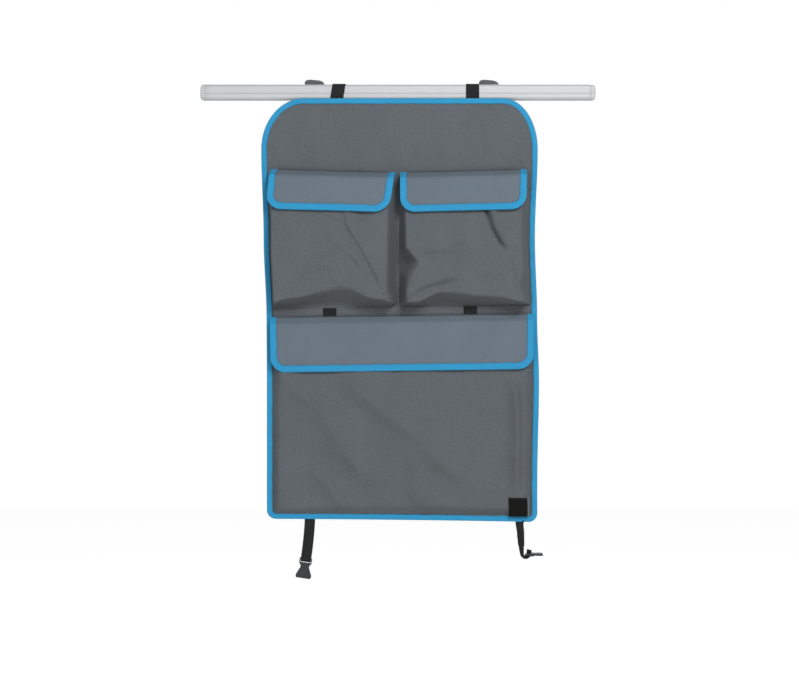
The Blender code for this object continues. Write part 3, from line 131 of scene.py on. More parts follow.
# Shares of a pocket's grid that lie on each gusset and down the front, and how far the mouth falls on a gusset
GUSSET_SHARE, FRONT_SHARE, MOUTH_FALL = 0.15, 0.80, 0.016
HEM_HEIGHT = 0.01224
POCKET_GRIDS = {"left": (216, 222), "right": (216, 222), "large": (188, 256)}
POCKET_NODES = {"left": "pocket_left", "right": "pocket_right", "large": "large_pocket"}
TOP_SEAM_Z, LARGE_SEAM_Z = -0.1515, -0.426
POCKET_TOP_Z, POCKET_BOTTOM_Z = -0.1645, -0.405
LARGE_TOP_Z, LARGE_BOTTOM_Z = -0.440, -0.8022
LEFT_GUSSETS = (
    ((0.0, 0.004), (1.0, 0.004)),
    ((0.0, 0.018), (0.3, 0.016), (0.88, 0.017), (1.0, 0.009)),
)
RIGHT_GUSSETS = (
    ((0.0, 0.018), (0.25, 0.011), (0.54, 0.012), (0.665, 0.031), (0.8, 0.014), (1.0, 0.012)),
    ((0.0, 0.015), (0.74, 0.014), (0.84, 0.021), (1.0, 0.012)),
)
LARGE_GUSSETS = (((0.0, 0.012), (1.0, 0.010)), ((0.0, 0.012), (1.0, 0.010)))
LEFT_FLOOR = ((0.0, 0.003), (0.14, 0.010), (0.58, 0.029), (0.82, 0.010), (1.0, 0.003))
RIGHT_FLOOR = ((0.0, 0.004), (0.12, 0.004), (0.32, 0.022), (0.68, 0.014), (1.0, 0.003))
LARGE_FLOOR = ((0.0, 0.010), (0.5, 0.016), (1.0, 0.010))
LEFT_FOLDS = (
    (((0.590, 0.360), (0.910, 0.880)), 0.003, 0.014, 0.012),
    (((0.606, 0.150), (0.616, 0.368), (0.750, 0.582), (0.925, 0.930)), 0.0052, 0.0036, 0.022),
    (((0.480, 0.720), (0.600, 0.860)), 0.004, 0.012, 0.012),
    (((0.915, 0.900), (0.940, 0.960)), 0.0045, 0.006, 0.006),
    (((0.420, 0.270), (0.545, 0.330), (0.620, 0.368)), 0.0026, 0.004, 0.006),
    (((0.440, 0.430), (0.471, 0.465), (0.665, 0.630), (0.780, 0.760)), 0.003, 0.004, 0.008),
    (((0.620, 0.560), (0.566, 0.600), (0.424, 0.676), (0.242, 0.817)), 0.0024, 0.006, 0.006),
    (((0.680, 0.150), (0.740, 0.360)), -0.005, 0.014, 0.020),
    (((0.100, 0.300), (0.220, 0.760)), 0.0024, 0.026, 0.026),
)
RIGHT_FOLDS = (
    (((0.675, 0.150), (0.700, 0.250), (0.745, 0.390), (0.800, 0.500), (0.870, 0.600)), 0.0062, 0.006, 0.022),
    (((0.640, 0.140), (0.655, 0.250), (0.700, 0.400), (0.755, 0.510), (0.820, 0.600)), -0.0105, 0.0024, 0.0036),
    (((0.740, 0.150), (0.800, 0.440)), -0.005, 0.012, 0.018),
    (((0.660, 0.330), (0.820, 0.620)), 0.002, 0.012, 0.012),
    (((0.840, 0.600), (0.880, 0.700), (0.930, 0.960)), 0.0026, 0.006, 0.010),
    (((0.150, 0.670), (0.105, 0.750), (0.062, 0.840)), 0.005, 0.0022, 0.010),
    (((0.060, 0.580), (0.150, 0.670)), 0.0045, 0.0022, 0.010),
    (((0.075, 0.920), (0.060, 0.965)), 0.0045, 0.006, 0.006),
    (((0.480, 0.790), (0.356, 0.838), (0.214, 0.874), (0.129, 0.921), (0.060, 0.990)), -0.0066, 0.0056, 0.009),
    (((0.420, 0.760), (0.280, 0.810), (0.140, 0.870)), 0.003, 0.009, 0.007),
    (((0.330, 0.350), (0.230, 0.720)), 0.002, 0.024, 0.024),
    (((0.520, 0.460), (0.375, 0.600), (0.100, 0.612)), -0.0048, 0.008, 0.008),
    (((0.500, 0.560), (0.640, 0.840)), 0.0022, 0.022, 0.022),
)
LARGE_FOLDS = (
    (
        ((0.230, 0.240), (0.297, 0.315), (0.411, 0.445), (0.571, 0.608), (0.640, 0.706), (0.780, 0.890)),
        0.0155, 0.023, 0.055,
    ),
    (((0.140, 0.390), (0.180, 0.470), (0.256, 0.613), (0.400, 0.890)), 0.013, 0.021, 0.040),
    (((0.140, 0.710), (0.175, 0.788), (0.221, 0.870), (0.290, 0.995)), 0.0075, 0.015, 0.024),
    (((0.000, 0.230), (0.085, 0.346), (0.170, 0.440)), 0.007, 0.014, 0.026),
    (((0.535, 0.640), (0.550, 0.850), (0.562, 0.995)), 0.0066, 0.018, 0.020),
    (((0.545, 0.850), (0.585, 0.921), (0.635, 0.995)), 0.005, 0.010, 0.018),
    (((0.930, 0.230), (0.948, 0.500), (0.948, 0.700), (0.940, 0.930)), 0.016, 0.017, 0.008),
    (((0.700, 0.250), (0.860, 0.480)), 0.003, 0.020, 0.026),
)

# Flaps: name, body, ends of the seam, seam's y and z, tilt in degrees, taper of the sides, corner
FLAPS = (
    ("left", "left_flap", (-0.24410, -0.0079), (-0.0170, TOP_SEAM_Z), 1.5, (-0.005, 0.011), 0.027),
    ("right", "right_flap", (0.0019, 0.24100), (-0.0170, TOP_SEAM_Z), -1.4, (-0.0015, 0.005), 0.027),
    ("large", "large_flap", (-0.24531, 0.25429), (-0.0179, LARGE_SEAM_Z), -0.76, (0.001, 0.003), 0.028),
)
# Flap section: mouth's depth, drop of the mouth below the seam, drop, reach, bend, dip, how far down it dips
TOP_SECTION = (0.022, 0.013, 0.0755, 0.0345, 0.010, 0.0055, 0.040)
LARGE_SECTION = (0.010, 0.014, 0.103, 0.0155, 0.006, 0.0035, 0.055)
FLAP_CLOTH, TAPE_CLOTH, FLAP_BINDING_WIDTH = 0.0010, 0.0008, 0.012
FLAP_CLEAR = FLAP_CLOTH / 2 + GAP + TAPE_CLOTH + 0.0016
TAPE_HEIGHT, TAPE_THICKNESS, TAPE_DOWN = 0.020, 0.0012, 0.016
TAPE_WIDTHS = {"left": 0.120, "right": 0.120, "large": 0.300}
# A flap's seam row: how far down it lies, and how far from the sides it ends. Then the rows of dark thread that fix
# the flap, partly real stitching and partly doubled to draw the shadow line over the seam: their places over the
# seam, and how far from its sides they end
SEAM_ROW_DOWN, SEAM_ROW_SHORT = 0.0012, 0.013
FIXING_AND_SHADOW_ROWS = {"left": (0.0006, 0.0019), "right": (0.0006, 0.0019), "large": (0.0010, 0.0024)}
FIXING_SHORT = {"left": 0.0135, "right": 0.0135, "large": 0.001}

# Seam band, its two tabs and the label
SEAM_ABOVE, SEAM_BELOW, BAND_ROW_RISE, BAND_ROW_SHORT = 0.0175, 0.005, 0.0042, 0.002
SEAM_TABS = (("left", -0.1325), ("right", 0.1345))
SEAM_TAB_WIDTH, SEAM_TAB_HEIGHT, SEAM_TAB_CLOTH, SEAM_TAB_LIFT = 0.025, 0.0145, 0.0009, 0.0024
TAB_ROW_RISE, TAB_ROW_HALF = 0.0032, 0.011
LABEL_WIDTH, LABEL_HEIGHT, LABEL_CLOTH, LABEL_SLANT = 0.0380, 0.0360, 0.0008, -0.03
LABEL_INSET, LABEL_BELOW, LABEL_BOW = 0.0153, 0.0043, 0.0006
LABEL_ROW_LEFT, LABEL_ROW_RIGHT, LABEL_ROW_DOWN = 0.002, 0.003, 0.0016

# Bottom straps and the bars that carry the buckle's halves
STRAP_Y, STRAP_WIDTH, STRAP_THICKNESS = -0.01095, 0.020, 0.0015
STRAP_ANCHOR, PIVOT_DOWN = 0.032, 0.0012
LEFT_STRAP_X, LEFT_STRAP_LENGTH, LEFT_LEAN, LEFT_CURL, LEFT_TAIL = -0.1705, 0.0715, 0.0545, 0.697, 0.026
# Slack under the socket's bar, and how far above it the tail leaves the bar and lies flat on the strap
LEFT_SLACK, TAIL_LEAVES, TAIL_FLAT = 0.0020, 0.003, 0.009
RIGHT_STRAP_X, RIGHT_STRAP_LENGTH, RIGHT_LOOP, RIGHT_TAIL = 0.2276, 0.058, 0.0045, 0.0075
LOOP_DROP, TAIL_TURN = 0.0048, 0.26
# How much thicker the right strap gets where it is bunched in the plug's bar, from how far down, and over how far
RIGHT_SWELL, BUNCHED_FROM, BUNCHED_OVER = 1.3, 0.036, 0.018
# By the way down, how far the right strap lies to the right, has turned in degrees, and is rolled up in radians
RIGHT_SHIFTS = ((-0.02, 0.0), (0.0, 0.0012), (0.022, 0.0040), (0.039, 0.0056), (0.050, 0.0070), (0.058, 0.0072))
RIGHT_TURNS = ((-0.014, 0.0), (0.001, 45.0), (0.022, 50.0), (0.039, 55.0), (0.047, 70.0), (0.0600, 88.0))
RIGHT_ROLLS = ((-0.014, 0.0), (0.002, 0.4), (0.022, 0.8), (0.039, 1.2), (0.055, 2.0))
BAR = 0.003
BAR_REACH = BAR * math.sqrt(0.5)
MOULD_RADIUS = 0.0004

# Lamps: name, place, diameter and power in watts. They all point at the middle of the view
LAMPS = (
    ("Key lamp", (1.0, -3.0, 1.3), 1.4, 83.0),
    ("Fill lamp", (-1.7, -3.4, -0.2), 1.6, 26.0),
    ("Rear lamp", (0.6, 2.8, 1.2), 2.0, 58.0),
)
# The room's light on the object, what the floor adds where it is seen, and the floor's width
ROOM_LIGHT, FLOOR_GLOW, FLOOR_WIDTH = 0.25, 0.74, 16.0


def linear(code):
    """sRGB hex code to linear colour: a straight toe, and above it a power of 2.4."""
    values = [int(code[k : k + 2], 16) / 255 for k in (1, 3, 5)]
    return tuple(v / 12.92 if v <= 0.04045 else ((v + 0.055) / 1.055) ** 2.4 for v in values)


def length(name, description, default, highest=1.0):
    """A length in metres, as a setting."""
    return FloatProperty(
        name=name, description=description, default=default, min=0.0, max=highest, unit="LENGTH", precision=5
    )


def colour(name, description, code):
    """A colour from its sRGB hex code, as a setting."""
    return FloatVectorProperty(
        name=name, description=description, default=linear(code), size=3, min=0.0, max=1.0, subtype="COLOR"
    )


class OrganizerSizes(bpy.types.PropertyGroup):
    stitch_length: length("Stitch length", "Length of each stitch that shows", 0.0031)
    stitch_pitch: length("Stitch pitch", "From the start of one stitch to the next", 0.0042)
    thread: length("Thread", "Thickness of the sewing thread", 0.0007)
    rumple: length("Rumple", "Height of the small unevenness of loose cloth", 0.0007)
    ripple: length("Ripple", "Height of the waves along a sewn binding", 0.00025)
    weave: length("Weave", "Thread spacing of the body cloth as it is drawn", 0.0011)
    rib: length("Rib", "Spacing of the binding's ribs", 0.0010)
    webbing_rib: length("Webbing rib", "Spacing of the webbing's ribs", 0.0016)
    rail_rounding: length("Rail rounding", "Radius of the rail's long corners", RAIL_CORNER, 0.009)
    floor_drop: length("Floor drop", "How far the floor lies below the rail", 1.40, 4.0)
    distance: length("Camera distance", "From the camera to the front of the panel", 4.0, 20.0)
    view_width: length("View width", "Width of the view at the panel", 1.518, 5.0)
    view_centre: length("View centre", "How far the view's centre lies below the rail", 0.4906, 2.0)


class OrganizerColours(bpy.types.PropertyGroup):
    body: colour("Body cloth", "Woven cloth of the panel and the pockets", "#5F6468")
    flap: colour("Flap cloth", "Smooth coated cloth of the flaps", "#636E78")
    binding: colour("Binding", "Ribbed tape folded over the edges", "#3194C3")
    webbing: colour("Webbing", "Loops, straps and seam tabs", "#202121")
    tape: colour("Hook and loop", "Closure tapes under the flaps", "#242526")
    buckle: colour("Buckle", "Moulded buckle halves", "#262B2F")
    rail: colour("Rail", "Anodised tube", "#B1B3B5")
    cap: colour("Caps", "Moulded ends of the rail", "#B9BBBD")
    label: colour("Label", "Small woven label", "#0F0F0E")
    dark_thread: colour("Dark thread", "Stitches on the grey cloth", "#2A2D30")
    blue_thread: colour("Blue thread", "Stitches on the binding", "#318EBF")
    floor: colour("Floor", "Floor and backdrop", "#F4F4F4")


# Numbers and meshes


def smooth(t):
    """Runs from 0 to 1 with level ends: t squared times 3 less 2 t."""
    t = np.clip(t, 0.0, 1.0)
    return t * t * (3 - 2 * t)


def read_off(table, share):
    """Runs through (share, value) pairs, between two of them as smooth() does, and stays level past the ends."""
    at, values = np.array(table, float).T
    k = np.clip(np.searchsorted(at, share, side="right") - 1, 0, len(at) - 2)
    mix = smooth((share - at[k]) / (at[k + 1] - at[k]))
    return values[k] + (values[k + 1] - values[k]) * mix


def unit(vectors):
    """Each vector divided by its length."""
    return vectors / np.maximum(np.linalg.norm(vectors, axis=-1, keepdims=True), 1e-12)


def grid(rows, columns):
    """Shares u across and v down of a grid of points."""
    v, u = np.meshgrid(np.linspace(0, 1, rows), np.linspace(0, 1, columns), indexing="ij")
    return u, v


def stack(x, y, z):
    """Points from their coordinates, which are spread to one shape."""
    return np.stack(np.broadcast_arrays(x, y, z), -1).astype(float)


def to_left(ahead):
    """Directions in a plane, each turned a quarter to the left."""
    return np.stack([-ahead[:, 1], ahead[:, 0]], -1)


def run_of(points, axis=0):
    """Distance covered at each point along one axis of a line or grid, from 0 at its first."""
    covered = np.cumsum(np.linalg.norm(np.diff(points, axis=axis), axis=-1), axis=axis)
    return np.insert(covered, 0, 0.0, axis)


def at_run(points, values, places):
    """The values, one row a point, read at these distances along a line."""
    run = run_of(points)
    return np.stack([np.interp(places, run, values[:, k]) for k in range(values.shape[1])], -1)


def even(points, step, closed=False):
    """The same line with its points about a step apart. A closed one doesn't repeat its first point."""
    line = np.vstack([points, points[:1]]) if closed else points
    total = run_of(line)[-1]
    count = max(2, math.ceil(total / step)) + (0 if closed else 1)
    return at_run(line, line, np.linspace(0, total, count, endpoint=not closed))


def front_normals(points):
    """Unit normals of a grid, down its rows crossed with along them, so that they face the front."""
    return unit(np.cross(np.gradient(points, axis=0), np.gradient(points, axis=1)))


def rumple(x, z, height, seed, longest=0.09, shortest=0.022):
    """Small unevenness of loose cloth: a sum of nine sine waves of several lengths and directions."""
    rng = np.random.default_rng(seed)
    waves = np.geomspace(longest, shortest, 9)
    turns, phases = rng.uniform(0, math.pi, 9), rng.uniform(0, TAU, 9)
    total = 0.0
    for wave, turn, phase in zip(waves, turns, phases):
        total = total + wave * np.sin(TAU * (x * math.cos(turn) + z * math.sin(turn)) / wave + phase)
    return height * total / waves.sum() * 3


def linked(name, data):
    """A new object in the scene, at the origin."""
    made = bpy.data.objects.new(name, data)
    bpy.context.scene.collection.objects.link(made)
    return made


def piece(name, points, groups, finish):
    """A mesh piece. Each group is (corner numbers, their places in the pattern, smooth or not)."""
    corners = np.concatenate([faces.ravel() for faces, _, _ in groups])
    sizes = np.concatenate([np.full(len(faces), faces.shape[1]) for faces, _, _ in groups])
    smooths = np.concatenate([np.full(len(faces), even_shade) for faces, _, even_shade in groups])
    places = np.concatenate([uv.reshape(-1, 2) for _, uv, _ in groups])
    starts = np.concatenate([[0], np.cumsum(sizes)[:-1]])
    mesh = bpy.data.meshes.new(name)
    mesh.vertices.add(len(points))
    mesh.vertices.foreach_set("co", points.astype(np.float32).ravel())
    mesh.loops.add(len(corners))
    mesh.loops.foreach_set("vertex_index", corners.astype(np.int32))
    mesh.polygons.add(len(sizes))
    mesh.polygons.foreach_set("loop_start", starts.astype(np.int32))
    mesh.polygons.foreach_set("use_smooth", smooths.astype(bool))
    pattern = mesh.uv_layers.new(name="Pattern")
    pattern.data.foreach_set("uv", places.astype(np.float32).ravel())
    mesh.update(calc_edges=True)
    mesh.validate()
    mesh.materials.append(bpy.data.materials[finish])
    return linked(name, mesh)


def quads(rows, columns, wrap_rows=False, wrap_columns=False):
    """Corner numbers of a grid's faces, seen from the front, and the same without the wrap for the pattern."""
    r = np.arange(rows if wrap_rows else rows - 1)[:, None]
    c = np.arange(columns if wrap_columns else columns - 1)[None, :]
    down, across = (r, r + 1, r + 1, r), (c, c, c + 1, c + 1)
    corners = [(a % rows) * columns + b % columns for a, b in zip(down, across)]
    wide = columns + 1 if wrap_columns else columns
    pattern = [a * wide + b for a, b in zip(down, across)]
    return np.stack(corners, -1).reshape(-1, 4), np.stack(pattern, -1).reshape(-1, 4)


def cloth(name, points, thickness, finish):
    """Cloth behind a grid of points: the grid, the same grid a thickness behind it, and a rim that joins them.

    The pattern is laid by the length along each row, from its middle, and down each column.
    """
    rows, columns = points.shape[:2]
    count = rows * columns
    behind = points - front_normals(points) * thickness
    across = run_of(points, 1)
    across -= across[:, columns // 2][:, None]
    places = np.stack([across, -run_of(points)], -1).reshape(-1, 2)
    front, _ = quads(rows, columns)
    back = front[:, ::-1]
    number = np.arange(count).reshape(rows, columns)
    edge = np.concatenate([number[0, :-1], number[:-1, -1], number[-1, :0:-1], number[:0:-1, 0]])
    after = np.roll(edge, -1)
    rim = np.stack([edge, after, after + count, edge + count], -1)
    groups = [(front, places[front], True), (back + count, places[back], True), (rim, places[rim % count], False)]
    return piece(name, np.concatenate([points.reshape(-1, 3), behind.reshape(-1, 3)]), groups, finish)


def volume(points, faces):
    """Signed volume inside faces that point outwards: a sixth of each fan triangle's triple product."""
    total = 0.0
    for k in range(1, faces.shape[1] - 1):
        a, b, c = points[faces[:, 0]], points[faces[:, k]], points[faces[:, k + 1]]
        total += np.einsum("ij,ij->i", a, np.cross(b, c)).sum() / 6
    return total


def outward(points, groups):
    """The groups, with their faces turned over if the volume inside them is negative."""
    if sum(volume(points, faces) for faces, _, _ in groups) < 0:
        groups = [(faces[:, ::-1], uv[:, ::-1], even_shade) for faces, uv, even_shade in groups]
    return groups


def tube_parts(rings, closed=False):
    """Points and groups of a tube through rings (rows, round): faces between rings and a cap on each end."""
    rows, around = rings.shape[:2]
    points = rings.reshape(-1, 3)
    across, middles = run_of(np.concatenate([rings, rings[:, :1]], 1), 1), rings.mean(1)
    if closed:
        across, middles = (np.vstack([part, part[:1]]) for part in (across, middles))
    places = np.stack(np.broadcast_arrays(across, run_of(middles)[:, None]), -1).reshape(-1, 2)
    sides, pattern = quads(rows, around, closed, True)
    groups = [(sides, places[pattern], True)]
    if not closed:
        first, last = np.arange(around)[None, ::-1], np.arange(around)[None, :] + (rows - 1) * around
        groups += [(ring, points[ring][..., [0, 2]], False) for ring in (first, last)]
    return points, outward(points, groups)


def tube(name, rings, finish, closed=False):
    """A tube as one piece."""
    return joined(name, [tube_parts(rings, closed)], finish)


def joined(name, parts, finish):
    """One piece from several closed parts, each (points, groups)."""
    points, groups, start = [], [], 0
    for part_points, part_groups in parts:
        points.append(part_points)
        groups += [(faces + start, uv, even_shade) for faces, uv, even_shade in part_groups]
        start += len(part_points)
    return piece(name, np.concatenate(points), groups, finish)


def rounded(corners, steps=8):
    """Closed outline through (across, up, setback before, setback after), each corner a quarter ellipse."""
    turn = np.linspace(0, math.pi / 2, steps + 1)[:, None]
    outline = []
    for k, (across, up, before, after) in enumerate(corners):
        here = np.array([[across, up]])
        if before == 0:
            outline.append(here)
            continue
        back = unit(np.array(corners[k - 1][:2]) - here) * before
        ahead = unit(np.array(corners[(k + 1) % len(corners)][:2]) - here) * after
        outline.append(here + back * (1 - np.sin(turn)) + ahead * (1 - np.cos(turn)))
    return np.concatenate(outline)


def carried(line, side, rise, profile):
    """Rings of a profile (along side, along rise), one for all points or one for each, carried along a line."""
    return line[:, None] + side[:, None] * profile[..., :1] + rise[:, None] * profile[..., 1:]


def curled(profile, bends, swells):
    """A flat profile rolled to arcs, one for each bend: across becomes sin(b a) / b, and rises by (1 - cos(b a)) / b.

    Its thickness is first taken times a swell, as where webbing is bunched up.
    """
    across, bend = profile[None, :, 0], np.maximum(bends, 1e-6)[:, None]
    rise = profile[None, :, 1] * swells[:, None]
    turn = bend * across
    return np.stack([np.sin(turn) * (1 / bend - rise), 1 / bend - np.cos(turn) * (1 / bend - rise)], -1)


def webbing_profile(width, thickness):
    """Flat woven webbing: a little thinner in the middle than at its firm edges, which are round."""
    half, edge = width / 2, thickness / 2
    along = np.linspace(-half + edge, half - edge, 13)
    dip = edge * (0.86 + 0.14 * smooth(np.abs(along) / half * 2.2 - 1.1))
    turn = np.linspace(-math.pi / 2, math.pi / 2, 5)[1:-1]
    right = np.stack([half - edge + edge * np.cos(turn), edge * np.sin(turn)], -1)
    return np.concatenate([np.stack([along, -dip], -1), right, np.stack([along, dip], -1)[::-1], -right])


def webbing(name, line, side, width, thickness, bends=0.0, swells=1.0):
    """A strap of webbing along a line, its width along side, its thickness across both, rolled and bunched."""
    side = np.broadcast_to(side, line.shape)
    rise = unit(np.cross(np.gradient(line, axis=0), side))
    bends, swells = (np.broadcast_to(part, len(line)) for part in (bends, swells))
    profile = curled(webbing_profile(width, thickness), bends, swells)
    return tube(name, carried(line, unit(side), rise, profile), WEBBING)


def stitch_parts(line, normals, sizes):
    """Stitches along a line that lies on cloth: each is a short rounded bar that dips in at both ends."""
    pitch, half = sizes.stitch_pitch, sizes.stitch_length / 2
    start, around = 0.4, 5
    middles = (np.arange(int(run_of(line)[-1] / pitch - start)) + start + 0.5) * pitch
    centre = at_run(line, line, middles)
    out = unit(at_run(line, normals, middles))
    ahead = unit(at_run(line, line, middles + half) - at_run(line, line, middles - half))
    aside = unit(np.cross(ahead, out))
    stations = np.array([-1.0, -0.72, 0.72, 1.0]) * half
    lift = np.array([-0.5, 0.25, 0.25, -0.5]) * sizes.thread
    swell = np.array([0.35, 1.0, 1.0, 0.35]) * sizes.thread / 2
    turn = (np.arange(around) * TAU / around)[:, None]
    middle = centre[:, None] + ahead[:, None] * stations[:, None] + out[:, None] * lift[:, None]
    ring = aside[:, None, None] * np.cos(turn) + out[:, None, None] * np.sin(turn)
    points = (middle[:, :, None] + ring * swell[:, None, None]).reshape(-1, 3)
    sides, pattern = quads(4, around, False, True)
    ends = np.stack([np.arange(around)[::-1], np.arange(around) + 3 * around])
    places = np.stack(np.meshgrid(np.arange(around + 1) * 0.0003, np.arange(4) * 0.0009), -1).reshape(-1, 2)
    shift = (np.arange(len(middles)) * 4 * around)[:, None, None]
    sides, ends = (sides + shift).reshape(-1, 4), (ends + shift).reshape(-1, around)
    places = np.tile(places[pattern], (len(middles), 1, 1))
    return points, outward(points, [(sides, places, True), (ends, np.zeros((*ends.shape, 2)), False)])


def flat_row(x, y, z, facing=-1.0):
    """A row of stitches on upright cloth: its line, and the same normal along y at each point."""
    line = stack(x, y, z)
    return line, np.broadcast_to((0.0, facing, 0.0), line.shape)


def stitches(name, rows, sizes, slot, body="panel"):
    """Rows of stitches, one for each (line, normals), as one piece. The thread is blue on the binding."""
    thread = BLUE_THREAD if slot == "binding" else DARK_THREAD
    made = joined(name, [stitch_parts(line, normals, sizes) for line, normals in rows], thread)
    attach(made, body)
    return made


def settle(made, body, slot, *nodes):
    """The piece rides on a body and stands for these nodes, which it hides. The slot is not used."""
    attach(made, body)
    if nodes:
        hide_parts(*nodes)
    return made


# Finishes


def add(tree, kind, inputs=(), **settings):
    """Adds a node, sets its own settings, and fills its inputs with values or the sockets that feed them."""
    made = tree.nodes.new("ShaderNode" + kind)
    for key, value in settings.items():
        setattr(made, key, value)
    for key, value in dict(inputs).items():
        if isinstance(value, bpy.types.NodeSocket):
            tree.links.new(value, made.inputs[key])
        else:
            made.inputs[key].default_value = value
    return made


def new_finish(name):
    """The empty node tree of a new material."""
    material = bpy.data.materials.new(name)
    material.use_nodes = True
    material.node_tree.nodes.clear()
    return material.node_tree


def tinted(code, factor):
    """The colour made lighter or darker by a factor."""
    return (*(min(1.0, value * factor) for value in code), 1.0)


def dyed(tree, shade, code, low, high):
    """The colour times the low factor where the shade is 0, and times the high one where it is 1."""
    return mixed(tree, shade, tinted(code, low), tinted(code, high))


def close_finish(tree, base, height, distance, surface):
    """The shader itself: its colour from base, its bump from height, and its plain numbers on their sockets."""
    bump = add(tree, "Bump", {"Strength": 1.0, "Distance": distance, "Height": height})
    shader = add(tree, "BsdfPrincipled", {"Base Color": base, "Normal": bump.outputs[0], **surface})
    add(tree, "OutputMaterial", {"Surface": shader.outputs[0]})


def pattern_at(tree, spacing_across, spacing_along):
    """Sines across and along the piece's own pattern, whose places are in metres."""
    place = add(tree, "UVMap", uv_map="Pattern").outputs[0]
    turns = (TAU / spacing_across, TAU / spacing_along, 0.0)
    phase = add(tree, "VectorMath", {0: place, 1: turns}, operation="MULTIPLY").outputs[0]
    parts = add(tree, "SeparateXYZ", {0: phase})
    sines = [add(tree, "Math", {0: part}, operation="SINE").outputs[0] for part in parts.outputs[:2]]
    return place, sines[0], sines[1]


def noise_at(tree, place, per_metre, detail=2.0):
    """Noise with its own fineness in each direction, in features a metre."""
    scaled = add(tree, "VectorMath", {0: place, 1: per_metre}, operation="MULTIPLY").outputs[0]
    return add(tree, "TexNoise", {"Vector": scaled, "Scale": 1.0, "Detail": detail}).outputs[0]


def sum_of(tree, parts):
    """Adds up (socket, weight) pairs."""
    total = None
    for socket, weight in parts:
        inputs = {0: socket, 1: weight, 2: 0.0 if total is None else total}
        total = add(tree, "Math", inputs, operation="MULTIPLY_ADD").outputs[0]
    return total


def mixed(tree, factor, low, high):
    """One colour where the factor is 0, the other where it is 1, and in proportion between."""
    return add(tree, "Mix", {0: factor, 6: low, 7: high}, data_type="RGBA").outputs[2]


def woven_cloth(name, code, spacing, streak, grain, surface, depth=0.00025):
    """Woven cloth: warp and weft cross as the product of two sines, slubs run down it, and dye lies unevenly."""
    tree = new_finish(name)
    place, warp, weft = pattern_at(tree, spacing, spacing)
    weave = add(tree, "Math", {0: warp, 1: weft}, operation="MULTIPLY").outputs[0]
    slub = noise_at(tree, place, (260.0, 22.0, 1.0))
    speck = noise_at(tree, place, (300.0, 300.0, 1.0), 3.0)
    cloud = noise_at(tree, place, (14.0, 9.0, 1.0), 3.0)
    shade = sum_of(tree, [(slub, streak), (speck, grain), (cloud, 0.5), (weave, 0.06)])
    shade = add(tree, "Math", {0: shade, 1: (streak + grain + 0.5) / 2 - 0.5}, operation="SUBTRACT").outputs[0]
    height = sum_of(tree, [(weave, 0.5), (slub, 0.5), (speck, 0.6)])
    close_finish(tree, dyed(tree, shade, code, 0.80, 1.20), height, depth, surface)


def ribbed_tape(name, code, spacing, surface):
    """Grosgrain tape: ribs lie across it, with a painted highlight on their crests, and painted shade darkens its
    inner edge.
    """
    tree = new_finish(name)
    place, _, rib = pattern_at(tree, 1.0, spacing)
    across = add(tree, "SeparateXYZ", {0: place}).outputs[0]
    # Painted shade: the first millimetres from the front leg's inner edge darken, as the shadow where the tape meets
    # the cloth
    painted_edge_shade = add(tree, "MapRange", {0: across, 1: 0.0003, 2: 0.0016, 3: 0.55, 4: 0.0}).outputs[0]
    speck = noise_at(tree, place, (400.0, 400.0, 1.0), 1.0)
    cloud = noise_at(tree, place, (60.0, 18.0, 1.0))
    # The rib's weight here paints a highlight on the crests; the bump below is real relief
    shade = sum_of(tree, [(rib, 0.10), (speck, 0.35), (cloud, 0.65)])
    base = mixed(tree, painted_edge_shade, dyed(tree, shade, code, 0.86, 1.14), tinted(code, 0.35))
    close_finish(tree, base, sum_of(tree, [(rib, 0.5), (speck, 0.3)]), 0.00018, surface)


def ribbed_webbing(name, code, spacing, width, surface):
    """Webbing: ribs slant one way on each half of its width, as in a herringbone."""
    tree = new_finish(name)
    place = add(tree, "UVMap", uv_map="Pattern").outputs[0]
    parts = add(tree, "SeparateXYZ", {0: place})
    fold = add(tree, "Math", {0: parts.outputs[0], 1: width / 4}, operation="PINGPONG").outputs[0]
    slant = add(tree, "Math", {0: fold, 1: parts.outputs[1]}, operation="ADD").outputs[0]
    turns = add(tree, "Math", {0: slant, 1: TAU / spacing}, operation="MULTIPLY").outputs[0]
    rib = add(tree, "Math", {0: turns}, operation="SINE").outputs[0]
    speck = noise_at(tree, place, (700.0, 700.0, 1.0), 1.0)
    shade = sum_of(tree, [(rib, 0.25), (speck, 0.9)])
    height = sum_of(tree, [(rib, 0.5), (speck, 0.5)])
    close_finish(tree, dyed(tree, shade, code, 0.70, 1.35), height, 0.0003, surface)


def pile_tape(name, code, per_metre, depth, surface):
    """Hook or loop tape: a field of small hooks or soft loops, as fine noise."""
    tree = new_finish(name)
    place = add(tree, "UVMap", uv_map="Pattern").outputs[0]
    pile = noise_at(tree, place, (per_metre, per_metre, 1.0), 2.0)
    close_finish(tree, dyed(tree, pile, code, 0.5, 1.7), pile, depth, surface)


def moulded(name, code, depth, surface):
    """Moulded plastic: fine spark texture and a faint cloud in the colour."""
    tree = new_finish(name)
    place = add(tree, "TexCoord").outputs["Object"]
    spark = noise_at(tree, place, (2500.0, 2500.0, 2500.0), 1.0)
    cloud = noise_at(tree, place, (90.0, 90.0, 90.0))
    close_finish(tree, dyed(tree, cloud, code, 0.92, 1.08), spark, depth, surface)


def drawn_metal(name, code, surface):
    """Drawn and anodised tube: fine lines along its length, drawn 0.5 mm wide so that they show."""
    tree = new_finish(name)
    place = add(tree, "TexCoord").outputs["Object"]
    lines = noise_at(tree, place, (3.0, 1900.0, 1900.0))
    cloud = noise_at(tree, place, (6.0, 30.0, 30.0))
    shade = sum_of(tree, [(lines, 0.5), (cloud, 0.5)])
    close_finish(tree, dyed(tree, shade, code, 0.95, 1.04), lines, 0.00002, surface)


